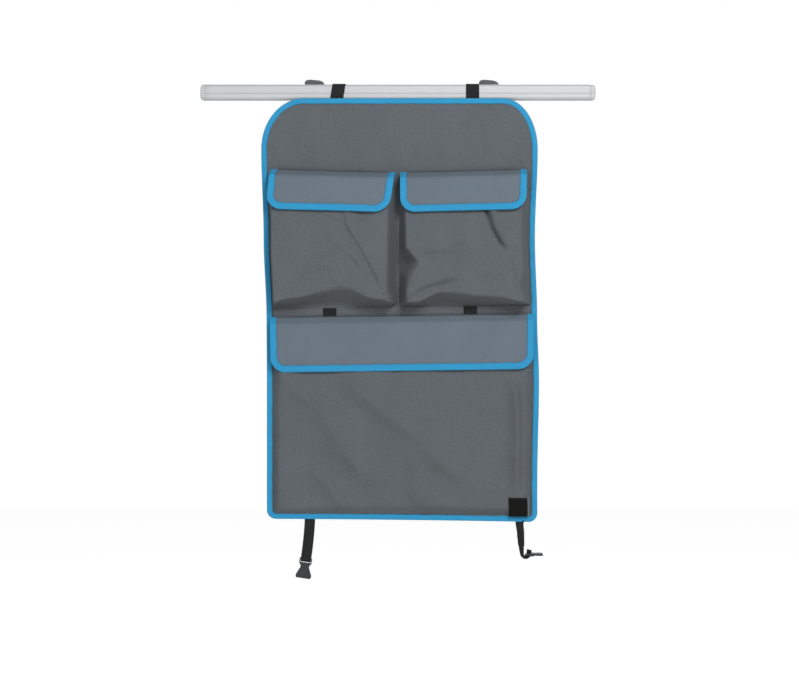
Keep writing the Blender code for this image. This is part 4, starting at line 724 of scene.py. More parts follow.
def label_cloth(name, code, line_code, surface):
    """Satin label: close filling threads, and a pale line woven along its right edge."""
    tree = new_finish(name)
    place, warp, weft = pattern_at(tree, 0.0008, 0.0005)
    parts = add(tree, "SeparateXYZ", {0: place})
    edge = add(tree, "Math", {0: parts.outputs[0], 1: 0.0160}, operation="GREATER_THAN").outputs[0]
    speck = noise_at(tree, place, (500.0, 500.0, 1.0), 1.0)
    base = mixed(tree, edge, dyed(tree, speck, code, 0.75, 1.3), tinted(line_code, 1.0))
    close_finish(tree, base, sum_of(tree, [(weft, 0.5), (warp, 0.2)]), 0.00012, surface)


def build_finishes(sizes, colours):
    """Every finish of the object, each with what the real material gives the eye."""
    # Plain woven polyester: dull, dry and a little fuzzy. Its threads are 0.4 mm, drawn coarser so that they show.
    woven_cloth(
        BODY_CLOTH, colours.body, sizes.weave, 0.28, 1.5,
        {"Roughness": 0.88, "Sheen Weight": 0.04, "Sheen Roughness": 0.5, "Specular IOR Level": 0.15},
    )
    # The same cloth doubled for the tabs behind the rail.
    woven_cloth(
        "Woven polyester tab cloth", colours.body, sizes.weave, 0.3, 0.6,
        {"Roughness": 0.9, "Sheen Weight": 0.04, "Specular IOR Level": 0.15},
    )
    # Coated polyester: its weave is filled, so it is smoother, paler and a little silky.
    woven_cloth(
        "Coated polyester flap cloth", colours.flap, sizes.weave * 0.8, 0.10, 0.45,
        {"Roughness": 0.66, "Sheen Weight": 0.02, "Specular IOR Level": 0.15}, 0.00010,
    )
    # Grosgrain polyester tape: bright dye, soft gloss on the ribs.
    ribbed_tape(
        BINDING_TAPE, colours.binding, sizes.rib,
        {"Roughness": 0.6, "Sheen Weight": 0.03, "Specular IOR Level": 0.12},
    )
    # Polypropylene webbing: nearly black, dull, with a greasy gleam on the ribs.
    ribbed_webbing(
        WEBBING, colours.webbing, sizes.webbing_rib, LOOP_WIDTH,
        {"Roughness": 0.6, "Sheen Weight": 0.01, "Specular IOR Level": 0.12},
    )
    # Nylon loop tape: soft brushed pile. Nylon hook tape: stiff and spiky, with tiny glints.
    pile_tape("Nylon loop tape", colours.tape, 900.0, 0.0005, {"Roughness": 0.95, "Sheen Weight": 0.08})
    pile_tape("Nylon hook tape", colours.tape, 1400.0, 0.0006, {"Roughness": 0.5})
    # Acetal, injection moulded: dark, waxy and evenly satin.
    moulded(
        "Acetal buckle moulding", colours.buckle, 0.00003,
        {"Roughness": 0.42, "IOR": 1.48, "Specular IOR Level": 0.3},
    )
    # Polypropylene cap moulded in the tube's colour: satin, not metallic.
    moulded("Polypropylene cap moulding", colours.cap, 0.00002, {"Roughness": 0.45, "IOR": 1.49})
    # Aluminium, drawn and clear anodised: pale, with broad soft highlights.
    drawn_metal(
        "Anodised aluminium tube", colours.rail, {"Roughness": 0.55, "Metallic": 0.3, "Specular IOR Level": 0.2}
    )
    # Woven satin label with nothing on it but its edge line.
    label_cloth(
        "Satin label cloth", colours.label, linear("#70767C"),
        {"Roughness": 0.65, "Specular IOR Level": 0.08},
    )
    # Spun polyester sewing thread: dull, twisted.
    for name, code in ((DARK_THREAD, colours.dark_thread), (BLUE_THREAD, colours.blue_thread)):
        moulded(name, code, 0.00004, {"Roughness": 0.7, "Sheen Weight": 0.2})


# Rail


def build_rail(sizes):
    """The tube's outline is a rounded box with a groove on the front. The caps carry it on, drawn in at the end."""
    half, front = RAIL_HEIGHT / 2, -RAIL_DEPTH / 2
    corner, lip = sizes.rail_rounding, GROOVE_WIDTH / 2
    flat = half - corner - 0.0004
    box = [(front, -half), (-front, -half), (-front, half), (front, half)]
    groove = [(0.0, lip * 1.6 + 0.0003), (0.0, lip * 1.6), (GROOVE_DEPTH * 0.25, lip), (GROOVE_DEPTH, lip * 0.6)]
    upper = [(front + depth, -GROOVE_DOWN + rise) for depth, rise in groove]
    lower = [(front + depth, -GROOVE_DOWN - rise) for depth, rise in groove[::-1]]
    outline = rounded(
        [(*place, corner, corner) for place in box]
        + [(*place, 0, 0) for place in ((front, flat), *upper, *lower, (front, -flat))]
    )
    end = RAIL_LENGTH / 2 - CAP_LENGTH
    stations = np.concatenate([[-end], np.linspace(-end + RAIL_BEVEL, end - RAIL_BEVEL, 60), [end]])
    shrink = np.where(np.abs(stations) >= end - RAIL_BEVEL / 2, 1 - RAIL_BEVEL / half, 1.0)[:, None]
    rings = stack(RAIL_OFFSET + stations[:, None], outline[:, 0] * shrink, outline[:, 1] * shrink)
    settle(tube("rail_tube", rings, "Anodised aluminium tube"), "rail", "rail", "hanging_rail")
    turn = np.linspace(0, math.pi / 2 * 0.96, 9)
    out = np.concatenate([[end, end + RAIL_BEVEL], RAIL_LENGTH / 2 - CAP_CORNER * (1 - np.sin(turn))])[:, None]
    drawn = np.concatenate([[RAIL_BEVEL, 0.0], CAP_CORNER * (1 - np.cos(turn))])[:, None]
    y, z = outline[:, 0] * (1 - 0.45 * drawn / -front), outline[:, 1] * (1 - drawn / half)
    for side, name in ((-1, "left"), (1, "right")):
        cap = tube("rail_end_" + name, stack(RAIL_OFFSET + side * out, y, z), "Polypropylene cap moulding")
        settle(cap, "rail", "cap", "rail_cap_" + name)


# Webbing loops and rear tabs


def build_loops(sizes):
    """Each loop is one webbing: up behind the panel, round the rail as a rounded box, and down again behind."""
    half = LOOP_THICKNESS / 2
    reach, high, corner = (size + GAP + half for size in (RAIL_DEPTH / 2, RAIL_HEIGHT / 2, RAIL_CORNER))
    outer, inner = LOOP_LAYERS_Y
    foot = PANEL_TOP - LOOP_DOWN
    box = rounded(
        [
            (outer, foot, 0, 0), (outer, high, corner, corner), (reach, high, corner, corner),
            (reach, -high, corner, corner), (inner, -high, 0.003, 0.003), (inner, foot, 0, 0),
        ],
        10,
    )
    y, z = even(box, 0.0016).T
    for name, x, slant in LOOPS:
        line = stack(x + slant * z, y, z)
        loop = webbing("hanging_loop_" + name, line, (1.0, 0.0, 0.0), LOOP_WIDTH, LOOP_THICKNESS)
        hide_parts("strap_loop_" + name, "strap_anchor_" + name)
        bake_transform(loop)
        middle = np.array([x + slant * (foot + BOX_RISE), inner + half, foot + BOX_RISE])
        corners = middle + stack(*np.array(BOX_CORNERS).T, 0.0)[:, [0, 2, 1]]
        rows = [flat_row(*even(corners[list(pair)], 0.001).T, 1.0) for pair in BOX_LINES]
        stitches("hanging_loop_stitches_" + name, rows, sizes, "webbing")


def build_tabs():
    """Each tab is doubled cloth: up behind the panel, back under the rail, and up behind the rail.

    The free end slopes down to the right, and its corners are round.
    """
    half = TAB_THICKNESS / 2
    rear = RAIL_DEPTH / 2 + GAP + half
    under = -RAIL_HEIGHT / 2 - 3 * GAP - half
    top = RAIL_HEIGHT / 2 + TAB_RISE
    foot = under - half - 3 * GAP - TAB_DOWN
    path = rounded(
        [(TAB_Y, foot, 0, 0), (TAB_Y, under, 0.002, 0.002), (rear, under, 0.005, 0.005), (rear, top, 0, 0)]
    )
    y, z = even(path, LINE_STEP).T[..., None]
    share = np.linspace(-1, 1, 31)[None, :]
    end = smooth((z - (top - TAB_RISE)) / TAB_RISE) * (y > 0)
    corner = TAB_CORNER * (1 - np.sqrt(1 - np.clip(np.abs(share) * 1.5 - 0.5, 0, 1) ** 2))
    for name, x in TABS:
        across = x + share * TAB_WIDTH / 2
        points = stack(across, y, z - end * (TAB_SLOPE * (share + 1) / 2 + corner))
        points[:, :, 1] += rumple(across, z, TAB_UNEVEN, 5) * smooth((z + 0.010) / 0.02) * (y > 0)
        points += front_normals(points) * half
        tab = cloth("standing_tab_" + name, points, TAB_THICKNESS, "Woven polyester tab cloth")
        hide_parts("rear_tab_" + name, "tab_anchor_" + name)
        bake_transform(tab)


# Panel


def side_x(side, z):
    """The panel's cut edge at this height: half the width less the pull read off its table."""
    return side * (PANEL_WIDTH / 2 - read_off(PULLS[side], (PANEL_TOP - z) / PANEL_HEIGHT))


def bottom_edge_z(x):
    """The panel's lower cut edge: it falls to the right, slowly at first, as the square of the share across."""
    left, right = side_x(-1, PANEL_BOTTOM), side_x(1, PANEL_BOTTOM)
    share = np.clip((x - left) / (right - left), 0, 1)
    return PANEL_BOTTOM + BOTTOM_LIFT + BOTTOM_LEFT_LIFT * (1 - share) - DROP_RIGHT * share**2


def cut_x(side, z, low):
    """The panel's edge with its corners: each corner draws it in as a quarter ellipse does."""
    rise = np.clip((z - (PANEL_TOP - TOP_CORNER_HEIGHT)) / TOP_CORNER_HEIGHT, 0, 1)
    drop = np.clip((low + BOTTOM_CORNER - z) / BOTTOM_CORNER, 0, 1)
    drawn = TOP_CORNER[side] * (1 - np.sqrt(1 - rise**2)) + BOTTOM_CORNER * (1 - np.sqrt(1 - drop**2))
    return side_x(side, z) - side * drawn


def panel_edge():
    """The panel's cut edge as (x, z), anticlockwise from the lower left, so that cloth lies to the left of it."""
    turn = np.linspace(0, math.pi / 2, 40)
    low = {side: float(bottom_edge_z(side_x(side, PANEL_BOTTOM))) for side in (-1, 1)}
    bottom_x = np.linspace(side_x(-1, PANEL_BOTTOM) + BOTTOM_CORNER, side_x(1, PANEL_BOTTOM) - BOTTOM_CORNER, 120)
    parts = [np.stack([bottom_x, bottom_edge_z(bottom_x)], -1)[1:-1]]
    for side in (1, -1):
        base = side_x(side, PANEL_BOTTOM)
        corner_x = base - side * BOTTOM_CORNER * (1 - np.sin(turn))
        corner_z = low[side] + BOTTOM_CORNER * (1 - np.cos(turn))
        rise = np.linspace(low[side] + BOTTOM_CORNER, PANEL_TOP - TOP_CORNER_HEIGHT, 200)[1:]
        arch_z = PANEL_TOP - TOP_CORNER_HEIGHT * (1 - np.sin(turn[1:]))
        arch_x = side_x(side, arch_z) - side * TOP_CORNER[side] * (1 - np.cos(turn[1:]))
        x = np.concatenate([corner_x, side_x(side, rise), arch_x])
        z = np.concatenate([corner_z, rise, arch_z])
        parts.append(np.stack([x, z], -1)[::side])
    return even(np.concatenate(parts), EDGE_STEP, closed=True)


def seam_at(number, x):
    """Height of a flap's tilted seam at this place across."""
    _, _, (left, right), (_, seam_z), tilt, _, _ = FLAPS[number]
    return seam_z - math.tan(math.radians(tilt)) * (x - (left + right) / 2)


def panel_relief(x, z):
    """How far the back cloth bows forward in the open part above the flaps: most just over their tilted seams.

    There it drops back within a few millimetres, so that a dark line runs along each seam. It is held to the room
    that a lifted flap leaves: a start that is less behind the flap's tapes, and FLAP_RISE for each metre above.
    """
    seam = np.where(x < MIDDLE_X, seam_at(0, x), seam_at(1, x))
    left, right = (np.where(x < MIDDLE_X, FLAPS[0][2][k], FLAPS[1][2][k]) for k in (0, 1))
    inside = np.minimum(x - left, right - x)
    room = BOW_START * smooth((inside - BOW_TAPES) / BOW_TAPES_FADE) + FLAP_RISE * np.maximum(z - seam, 0.0)
    share_z = smooth((BOW_TOP - z) / BOW_TOP_FADE) * smooth((z - seam - BOW_LOW) / BOW_LOW_FADE)
    share_x = smooth((BOW_SIDE - np.abs(x)) / BOW_SIDE_FADE)
    full = BOW * (1 + smooth((seam + BOW_MORE - z) / BOW_MORE_FADE)) + rumple(x, z, BOW_UNEVEN, 11, 0.12, 0.03)
    return np.clip(np.minimum(full * share_x * share_z, room), 0.0, None)


def build_panel(sizes):
    """Back cloth on a grid from edge to edge, with a tape folded over its whole edge and sewn on both faces.

    The grid's rows and columns crowd towards the edges, as a cosine does.
    """
    u, v = grid(260, 150)
    rows = PANEL_TOP - PANEL_HEIGHT * (0.55 * v + 0.45 * (1 - np.cos(math.pi * v)) / 2)
    left, right = cut_x(-1, rows, PANEL_BOTTOM), cut_x(1, rows, PANEL_BOTTOM)
    x = left + (right - left) * (0.5 - np.cos(math.pi * u) / 2 * 0.35 + (u - 0.5) * 0.65)
    z = rows - (PANEL_BOTTOM - bottom_edge_z(x)) * smooth((PANEL_TOP - rows) / PANEL_HEIGHT * 4 - 3)
    panel = cloth("panel_back_cloth", stack(x, PANEL_FRONT - panel_relief(x, z), z), PANEL_CLOTH, BODY_CLOTH)
    settle(panel, "panel", "body_cloth", "back_panel")

    edge = panel_edge()
    inward = to_left(unit(np.roll(edge, -1, 0) - np.roll(edge, 1, 0)))
    run = np.linspace(0, TAU, len(edge), endpoint=False)
    wave = sizes.ripple * (np.sin(run * 61) + 0.6 * np.sin(run * 97 + 1.0) + 0.5 * np.sin(run * 23 + 2.0))
    profile, free = folded_tape(BINDING_WIDTH, PANEL_CLOTH / 2 + GAP, BINDING_CLOTH)
    x, z = tape_places(edge, inward, profile, free, wave)
    middle = (PANEL_FRONT + PANEL_REAR) / 2
    binding = tube("edge_binding_tape", stack(x, middle + profile[:, 1], z), BINDING_TAPE, closed=True)
    settle(binding, "panel", "binding", "edge_binding")
    line = even(np.vstack([edge, edge[:1]]), LINE_STEP)
    sewn = line + to_left(unit(np.gradient(line, axis=0))) * (BINDING_WIDTH - SEWN_IN)
    outer = PANEL_CLOTH / 2 + GAP + BINDING_CLOTH - PRESSED
    rows = [flat_row(sewn[:, 0], middle + face * outer, sewn[:, 1], face) for face in (-1, 1)]
    thread = stitches("edge_binding_stitches", rows, sizes, "binding")


def folded_tape(width, half_cloth, tape):
    """Section of a tape folded over an edge, as (inward, rise), and how free each point is to ripple.

    The outer line runs in over the front, round the fold as half an ellipse, and back over the rear. A stitch
    line presses it down a little near its inner edge. The inner line comes back inside it.
    """
    outer, fold_in = half_cloth + tape, 0.0008
    turn = np.linspace(math.pi / 2, -math.pi / 2, 11)[1:-1]
    fold = np.stack([fold_in - (GAP + tape + fold_in) * np.cos(turn), -outer * np.sin(turn)], -1)
    place, swell = np.array(TAPE_LEG).T
    front = np.stack([np.append(width - place, width * 0.35), -(outer + np.append(swell, 0.0))], -1)
    inside = np.array([(width, half_cloth), (width * 0.5, half_cloth), (-GAP, half_cloth)])
    profile = np.concatenate([front, fold, front[::-1] * (1, -1), inside, inside[::-1] * (1, -1)])
    free = np.concatenate([np.linspace(1, 0.3, 7), np.zeros(9), np.linspace(0.3, 1, 7), [1, 0.5, 0, 0, 0.5, 1]])
    return profile, free


def tape_places(edge, inward, profile, free, wave):
    """Where a folded tape's rings lie in the cloth's plane: in from the edge by the profile, rippled by the wave."""
    depth = profile[:, 0] + free * wave[:, None]
    return (edge[:, k, None] + inward[:, k, None] * depth for k in (0, 1))


# Pockets


class Pocket:
    """A bellows pocket: a front that stands off the panel on slanting gussets and a drawn-up floor."""

    def __init__(self, edges, top, bottom, depths, turn, gussets, floor, folds, seed):
        self.edges, self.top, self.bottom, self.depths, self.gussets = edges, top, bottom, depths, gussets
        (self.softness, self.tuck), self.floor, self.folds, self.seed = turn, floor, folds, seed

    def fold(self, x, z):
        """Ridges and valleys along bent lines: each falls off as a bell on either side, and fades at its ends."""
        left, wide = self.edges[0](self.top), self.edges[1](self.top) - self.edges[0](self.top)
        drop = self.top - self.bottom
        total = 0.0
        for shares, height, left_width, right_width in self.folds:
            line = np.array(shares) * (wide, -drop) + (left, self.top)
            starts, runs = line[:-1], np.diff(line, axis=0)
            steps = np.linalg.norm(runs, axis=1)
            off_x, off_z = x[..., None] - starts[:, 0], z[..., None] - starts[:, 1]
            share = np.clip((off_x * runs[:, 0] + off_z * runs[:, 1]) / steps**2, 0, 1)
            away = np.hypot(off_x - share * runs[:, 0], off_z - share * runs[:, 1])
            side = off_x * runs[:, 1] - off_z * runs[:, 0]
            nearest = away.argmin(-1)[..., None]
            covered = np.concatenate([[0.0], np.cumsum(steps)[:-1]]) + share * steps
            away, side, along = (np.take_along_axis(part, nearest, -1)[..., 0] for part in (away, side, covered))
            ends = smooth(along / steps.sum() / 0.24) * smooth((1 - along / steps.sum()) / 0.24)
            total = total + height * np.exp(-((away / np.where(side > 0, left_width, right_width)) ** 1.5)) * ends
        return total

    def depth(self, x, z, rumple_height):
        """How far the cloth stands off: the bulge and folds times the least of the shares risen from each side.

        The least is a soft one, less the softness times the log of the sum of the exponentials. Its power tucks
        the gussets and the floor in behind the front.
        """
        down = np.clip((self.top - z) / (self.top - self.bottom), 0, 1)
        left, right = self.edges[0](z), self.edges[1](z)
        share = np.clip((x - left) / (right - left), 0, 1)
        rises = (
            (x - left) / read_off(self.gussets[0], down),
            (right - x) / read_off(self.gussets[1], down),
            (z - self.bottom) / read_off(self.floor, share),
            np.ones_like(x),
        )
        least = -self.softness * np.log(sum(np.exp(-np.minimum(rise, 4.0) / self.softness) for rise in rises))
        mouth, belly, belly_down = self.depths
        bulge = mouth + (belly - mouth) * smooth(down / belly_down)
        uneven = rumple(x, z, rumple_height, self.seed) * smooth(down * 6)
        return (bulge + self.fold(x, z) + uneven) * np.maximum(least, 0.0) ** self.tuck

    def place(self, u, v, rumple_height=0.0):
        """Points: the outer columns lie on the gussets, and the lowest rows on the floor."""
        top, bottom = self.top, self.bottom

        def across(z):
            left, right = self.edges[0](z), self.edges[1](z)
            down = np.clip((top - z) / (top - bottom), 0, 1)
            near, far = left + read_off(self.gussets[0], down), right - read_off(self.gussets[1], down)
            inner = near + (far - near) * (u - GUSSET_SHARE) / (1 - 2 * GUSSET_SHARE)
            outer_left = left + (near - left) * u / GUSSET_SHARE
            outer_right = right - (right - far) * (1 - u) / GUSSET_SHARE
            return np.where(u < GUSSET_SHARE, outer_left, np.where(u > 1 - GUSSET_SHARE, outer_right, inner))

        first = across(top + (bottom - top) * v)
        left, right = self.edges[0](top), self.edges[1](top)
        edge = bottom + read_off(self.floor, np.clip((first - left) / (right - left), 0, 1))
        outer = np.clip(1 - np.minimum(u, 1 - u) / GUSSET_SHARE, 0, 1)
        front = top + (edge - top) * v / FRONT_SHARE - MOUTH_FALL * outer**2 * np.clip(1 - 2 * v, 0, 1) ** 2
        floor = edge + (bottom - edge) * (v - FRONT_SHARE) / (1 - FRONT_SHARE)
        z = np.where(v < FRONT_SHARE, front, floor)
        x = across(z)
        return stack(x, POCKET_REAR - self.depth(x, z, rumple_height), z)


def large_side_x(side, z):
    """The large pocket's sewn edge: beside the binding, and round its inner corner at the bottom."""
    corner = BOTTOM_CORNER - BINDING_WIDTH
    rise = np.clip(z - LARGE_BOTTOM_Z, 0, corner)
    drawn = corner - np.sqrt(corner**2 - (corner - rise) ** 2)
    return side_x(side, z) - side * (BESIDE_BINDING + drawn)


def pockets():
    """The three pockets by name."""
    left_edges = (lambda z: side_x(-1, z) + POCKET_INSET, lambda z: MIDDLE_X - MIDDLE_GAP / 2 + 0 * z)
    right_edges = (lambda z: MIDDLE_X + MIDDLE_GAP / 2 + 0 * z, lambda z: side_x(1, z) - POCKET_INSET)
    large_edges = (lambda z: large_side_x(-1, z), lambda z: large_side_x(1, z))
    top = (POCKET_TOP_Z, POCKET_BOTTOM_Z, TOP_DEPTHS, TOP_TURN)
    large = (LARGE_TOP_Z, LARGE_BOTTOM_Z, LARGE_DEPTHS, LARGE_TURN)
    return {
        "left": Pocket(left_edges, *top, LEFT_GUSSETS, LEFT_FLOOR, LEFT_FOLDS, 3),
        "right": Pocket(right_edges, *top, RIGHT_GUSSETS, RIGHT_FLOOR, RIGHT_FOLDS, 4),
        "large": Pocket(large_edges, *large, LARGE_GUSSETS, LARGE_FLOOR, LARGE_FOLDS, 6),
    }


def laid_on(pocket, u, v, lift, height):
    """Points of a strip laid on a pocket's front at shares u and v, lifted off along the front's normals."""
    points = pocket.place(u, v, height)
    return points + front_normals(points) * lift


def build_pockets(sizes):
    """Pocket cloths with a hem along the mouth, loop tape below it, and stitches along the hem and the sides."""
    for name, pocket in pockets().items():
        points = pocket.place(*grid(*POCKET_GRIDS[name]), sizes.rumple)
        front = cloth("pocket_cloth_" + name, points, POCKET_CLOTH, BODY_CLOTH)
        settle(front, "panel", "body_cloth", POCKET_NODES[name])
        down = HEM_HEIGHT / (pocket.top - pocket.bottom) * FRONT_SHARE
        u, v = grid(9, 180)
        hem_points = laid_on(pocket, 0.02 + 0.96 * u, v * down, TAPE_CLOTH + GAP, sizes.rumple)
        hem = cloth("pocket_hem_cloth_" + name, hem_points, TAPE_CLOTH, BODY_CLOTH)
        settle(hem, "panel", "body_cloth", "pocket_hem_" + name)
        u, v = grid(5, 200)
        sewn = laid_on(pocket, 0.03 + 0.94 * u, down * (0.86 + 0.04 * v), TAPE_CLOTH + GAP, sizes.rumple)
        rows = [(sewn[2], front_normals(sewn)[2])]
        thread = stitches("pocket_hem_stitches_" + name, rows, sizes, "body_cloth")
        u, v = grid(260, 5)
        sides = [pocket.place(at + 0.002 * (u - 0.5), 0.01 + 0.78 * v, sizes.rumple) for at in (0.010, 0.990)]
        rows = [(side[:, 2], front_normals(side)[:, 2]) for side in sides]
        side_thread = stitches("pocket_side_stitches_" + name, rows, sizes, "body_cloth")
        left, right = (edge(np.array(pocket.top)) for edge in pocket.edges)
        middle, half = (left + right) / 2, TAPE_WIDTHS[name] / 2
        u, v = grid(14, 70)
        x, z = middle - half + 2 * half * u, pocket.top - TAPE_DOWN - TAPE_HEIGHT * v
        tape_points = stack(x, POCKET_REAR - pocket.depth(x, z, sizes.rumple), z)
        tape_points += front_normals(tape_points) * (GAP + TAPE_THICKNESS)
        tape = cloth("loop_tape_pile_" + name, tape_points, TAPE_THICKNESS, "Nylon loop tape")
        settle(tape, "panel", "hook_and_loop", "loop_tape_" + name)


# Flaps


class Section:
    """The line that a flap follows from its seam, as (forward, down).

    It runs straight past the pocket's mouth, clear of it, and then as one Bezier curve that turns down, dips in
    over the tapes and ends standing off by its reach.
    """

    def __init__(self, seam_y, mouth_depth, below, drop, reach, bend, dip, dip_down):
        mouth = np.array([seam_y - (POCKET_REAR - mouth_depth - GAP - TAPE_CLOTH), below])
        size = np.linalg.norm(mouth)
        slope = math.atan2(mouth[1], mouth[0]) - math.asin(FLAP_CLEAR / size)
        ahead = np.array([math.cos(slope), math.sin(slope)])
        turn = ahead * math.sqrt(size**2 - FLAP_CLEAR**2)
        controls = np.array([turn, turn + ahead * bend, (reach - dip, dip_down), (reach, drop)])
        t = np.linspace(0, 1, 61)[:, None]
        weights = np.concatenate([(1 - t) ** 3, 3 * t * (1 - t) ** 2, 3 * t**2 * (1 - t), t**3], 1)
        straight = np.linspace(0, 1, 16)[:-1, None] * turn
        self.points = np.vstack([straight, weights @ controls])
        self.run = run_of(self.points)
        ahead = unit(np.gradient(self.points, self.run, axis=0))
        self.fronts = np.stack([ahead[:, 1], -ahead[:, 0]], -1)
        self.length = float(self.run[-1])

    def down_to(self, down):
        """How far along the cloth it has come down this much."""
        return float(np.interp(down, self.points[:, 1], self.run))

    def at(self, along):
        """Points at these distances along the cloth, and the unit normals to the front."""
        read = [np.interp(along, self.run, column) for column in (*self.points.T, *self.fronts.T)]
        return np.stack(read[:2], -1), unit(np.stack(read[2:], -1))


def draped(section, seam, tilt, across, along, rise):
    """Bends flat cloth over a section below a tilted seam: rise is measured to the front."""
    point, front = section.at(np.maximum(along, 0.0))
    point = point + front * rise[..., None]
    cos, sin = math.cos(math.radians(tilt)), math.sin(math.radians(tilt))
    x = across * cos - point[..., 1] * sin
    z = -across * sin - point[..., 1] * cos
    return stack(seam[0] + x, seam[1] - point[..., 0], seam[2] + z)


def flap_relief(across, along, length, seed, height):
    """Loose flap cloth: small unevenness and a slow wave that grows towards its lower edge."""
    grow = smooth((along - 0.3 * length) / (0.7 * length))
    return grow * (rumple(across, along, height, seed, 0.10, 0.03) + height * np.sin(TAU * across / 0.13 + seed))


def flap_half(side, along, width, length, taper, corner):
    """Half width of a flap at this distance from its seam: it tapers, and its corner is a quarter circle."""
    drawn = taper[0 if side < 0 else 1] * np.clip(along / length, 0, 1)
    low = np.clip((along - (length - corner)) / corner, 0, 1)
    return width / 2 - drawn - corner * (1 - np.sqrt(1 - low**2))


def flap_edge(width, length, taper, corner):
    """A flap's bound edge as (across, along): down the left side, along the bottom and up the right side."""
    turn = np.linspace(0, math.pi / 2, 24)
    along = np.concatenate([np.linspace(0, length - corner, 40)[:-1], length - corner * (1 - np.sin(turn))])
    left = np.stack([-flap_half(-1, along, width, length, taper, corner), along], -1)
    right = np.stack([flap_half(1, along, width, length, taper, corner), along], -1)
    return even(np.concatenate([left, right[::-1]]), EDGE_STEP)


def build_flaps(sizes):
    """Each flap: cloth, a tape folded over three edges and sewn, hook tape beneath, and a stitched seam."""
    for index, (name, body, (left, right), (seam_y, seam_z), tilt, taper, corner) in enumerate(FLAPS):
        large = name == "large"
        spec = LARGE_SECTION if large else TOP_SECTION
        section = Section(seam_y, *spec)
        seam = ((left + right) / 2, seam_y, seam_z)
        width, long = right - left, section.length

        def place(across, along, rise):
            rise = rise + flap_relief(across, along, long, index + 20, sizes.rumple * 0.7)
            return draped(section, seam, tilt, across, along, rise)

        def row(across, along, rise):
            line = place(across, along, rise)
            return line, unit(line - place(across, along, 0.0))

        u, v = grid(110, 220 if large else 130)
        along = (0.55 * v + 0.45 * np.sin(v * math.pi / 2)) * long
        low, high = (side * flap_half(side, along, width, long, taper, corner) for side in (-1, 1))
        points = place(low + (high - low) * u, along, FLAP_CLOTH / 2)
        flap = cloth("flap_cloth_" + name, points, FLAP_CLOTH, "Coated polyester flap cloth")
        settle(flap, body, "flap_cloth", "flap_" + name)

        edge = flap_edge(width, long, taper, corner)
        inward = -to_left(unit(np.gradient(edge, axis=0)))
        run = run_of(edge)
        wave = sizes.ripple * (np.sin(run * TAU / 0.041) + 0.7 * np.sin(run * TAU / 0.027 + 1.3))
        profile, free = folded_tape(FLAP_BINDING_WIDTH, FLAP_CLOTH / 2 + GAP, TAPE_CLOTH)
        across, along = tape_places(edge, inward, profile, free, wave)
        rings = place(across, np.clip(along, 0, long), -profile[:, 1])
        # Past the cloth's end the tape goes straight on down.
        past = np.maximum(along - long, 0)
        rings[..., 0] -= past * math.sin(math.radians(tilt))
        rings[..., 2] -= past * math.cos(math.radians(tilt))
        binding = tube("flap_edge_tape_" + name, rings, BINDING_TAPE)
        settle(binding, body, "binding", "flap_binding_" + name)
        line = even(edge, LINE_STEP)
        sewn = line - to_left(unit(np.gradient(line, axis=0))) * (FLAP_BINDING_WIDTH - SEWN_IN)
        sewn = sewn[sewn[:, 1] > 0.001]
        outer = FLAP_CLOTH / 2 + GAP + TAPE_CLOTH - PRESSED
        rows = [row(*sewn.T, face * outer) for face in (1, -1)]
        thread = stitches("flap_edge_stitches_" + name, rows, sizes, "binding", body)

        u, v = grid(16, 80)
        across = (2 * u - 1) * TAPE_WIDTHS[name] / 2
        along = section.down_to(spec[1] + TAPE_DOWN) + TAPE_HEIGHT * v
        hook_points = place(across, along, -FLAP_CLOTH / 2 - GAP)
        hook = cloth("hook_tape_pile_" + name, hook_points, TAPE_THICKNESS, "Nylon hook tape")
        settle(hook, body, "hook_and_loop", "hook_tape_" + name)
        across = np.linspace(SEAM_ROW_SHORT - width / 2, width / 2 - SEAM_ROW_SHORT, 200)
        rows = [row(across, SEAM_ROW_DOWN, FLAP_CLOTH / 2)]
        seam_thread = stitches("flap_seam_stitches_" + name, rows, sizes, "flap_cloth", body)

        # The rows that fix a flap lie on the seam band, or on the bowed back cloth and short of the flap's tapes.
        # Their dark thread is partly real stitching and partly stands in for the shadow line over the seam.
        end = width / 2 - FIXING_SHORT[name]
        across = np.linspace(-end, end, 240)
        rows = []
        for rise in FIXING_AND_SHADOW_ROWS[name]:
            x, z = seam[0] + across, seam_z - math.tan(math.radians(tilt)) * across + rise
            lift = GAP + TAPE_CLOTH + PRESSED if large else panel_relief(x, z) - PRESSED
            rows.append(flat_row(x, PANEL_FRONT - lift, z))
        stitches("flap_fixing_and_shadow_stitches_" + name, rows, sizes, "body_cloth")


# Seam band, seam tabs and label


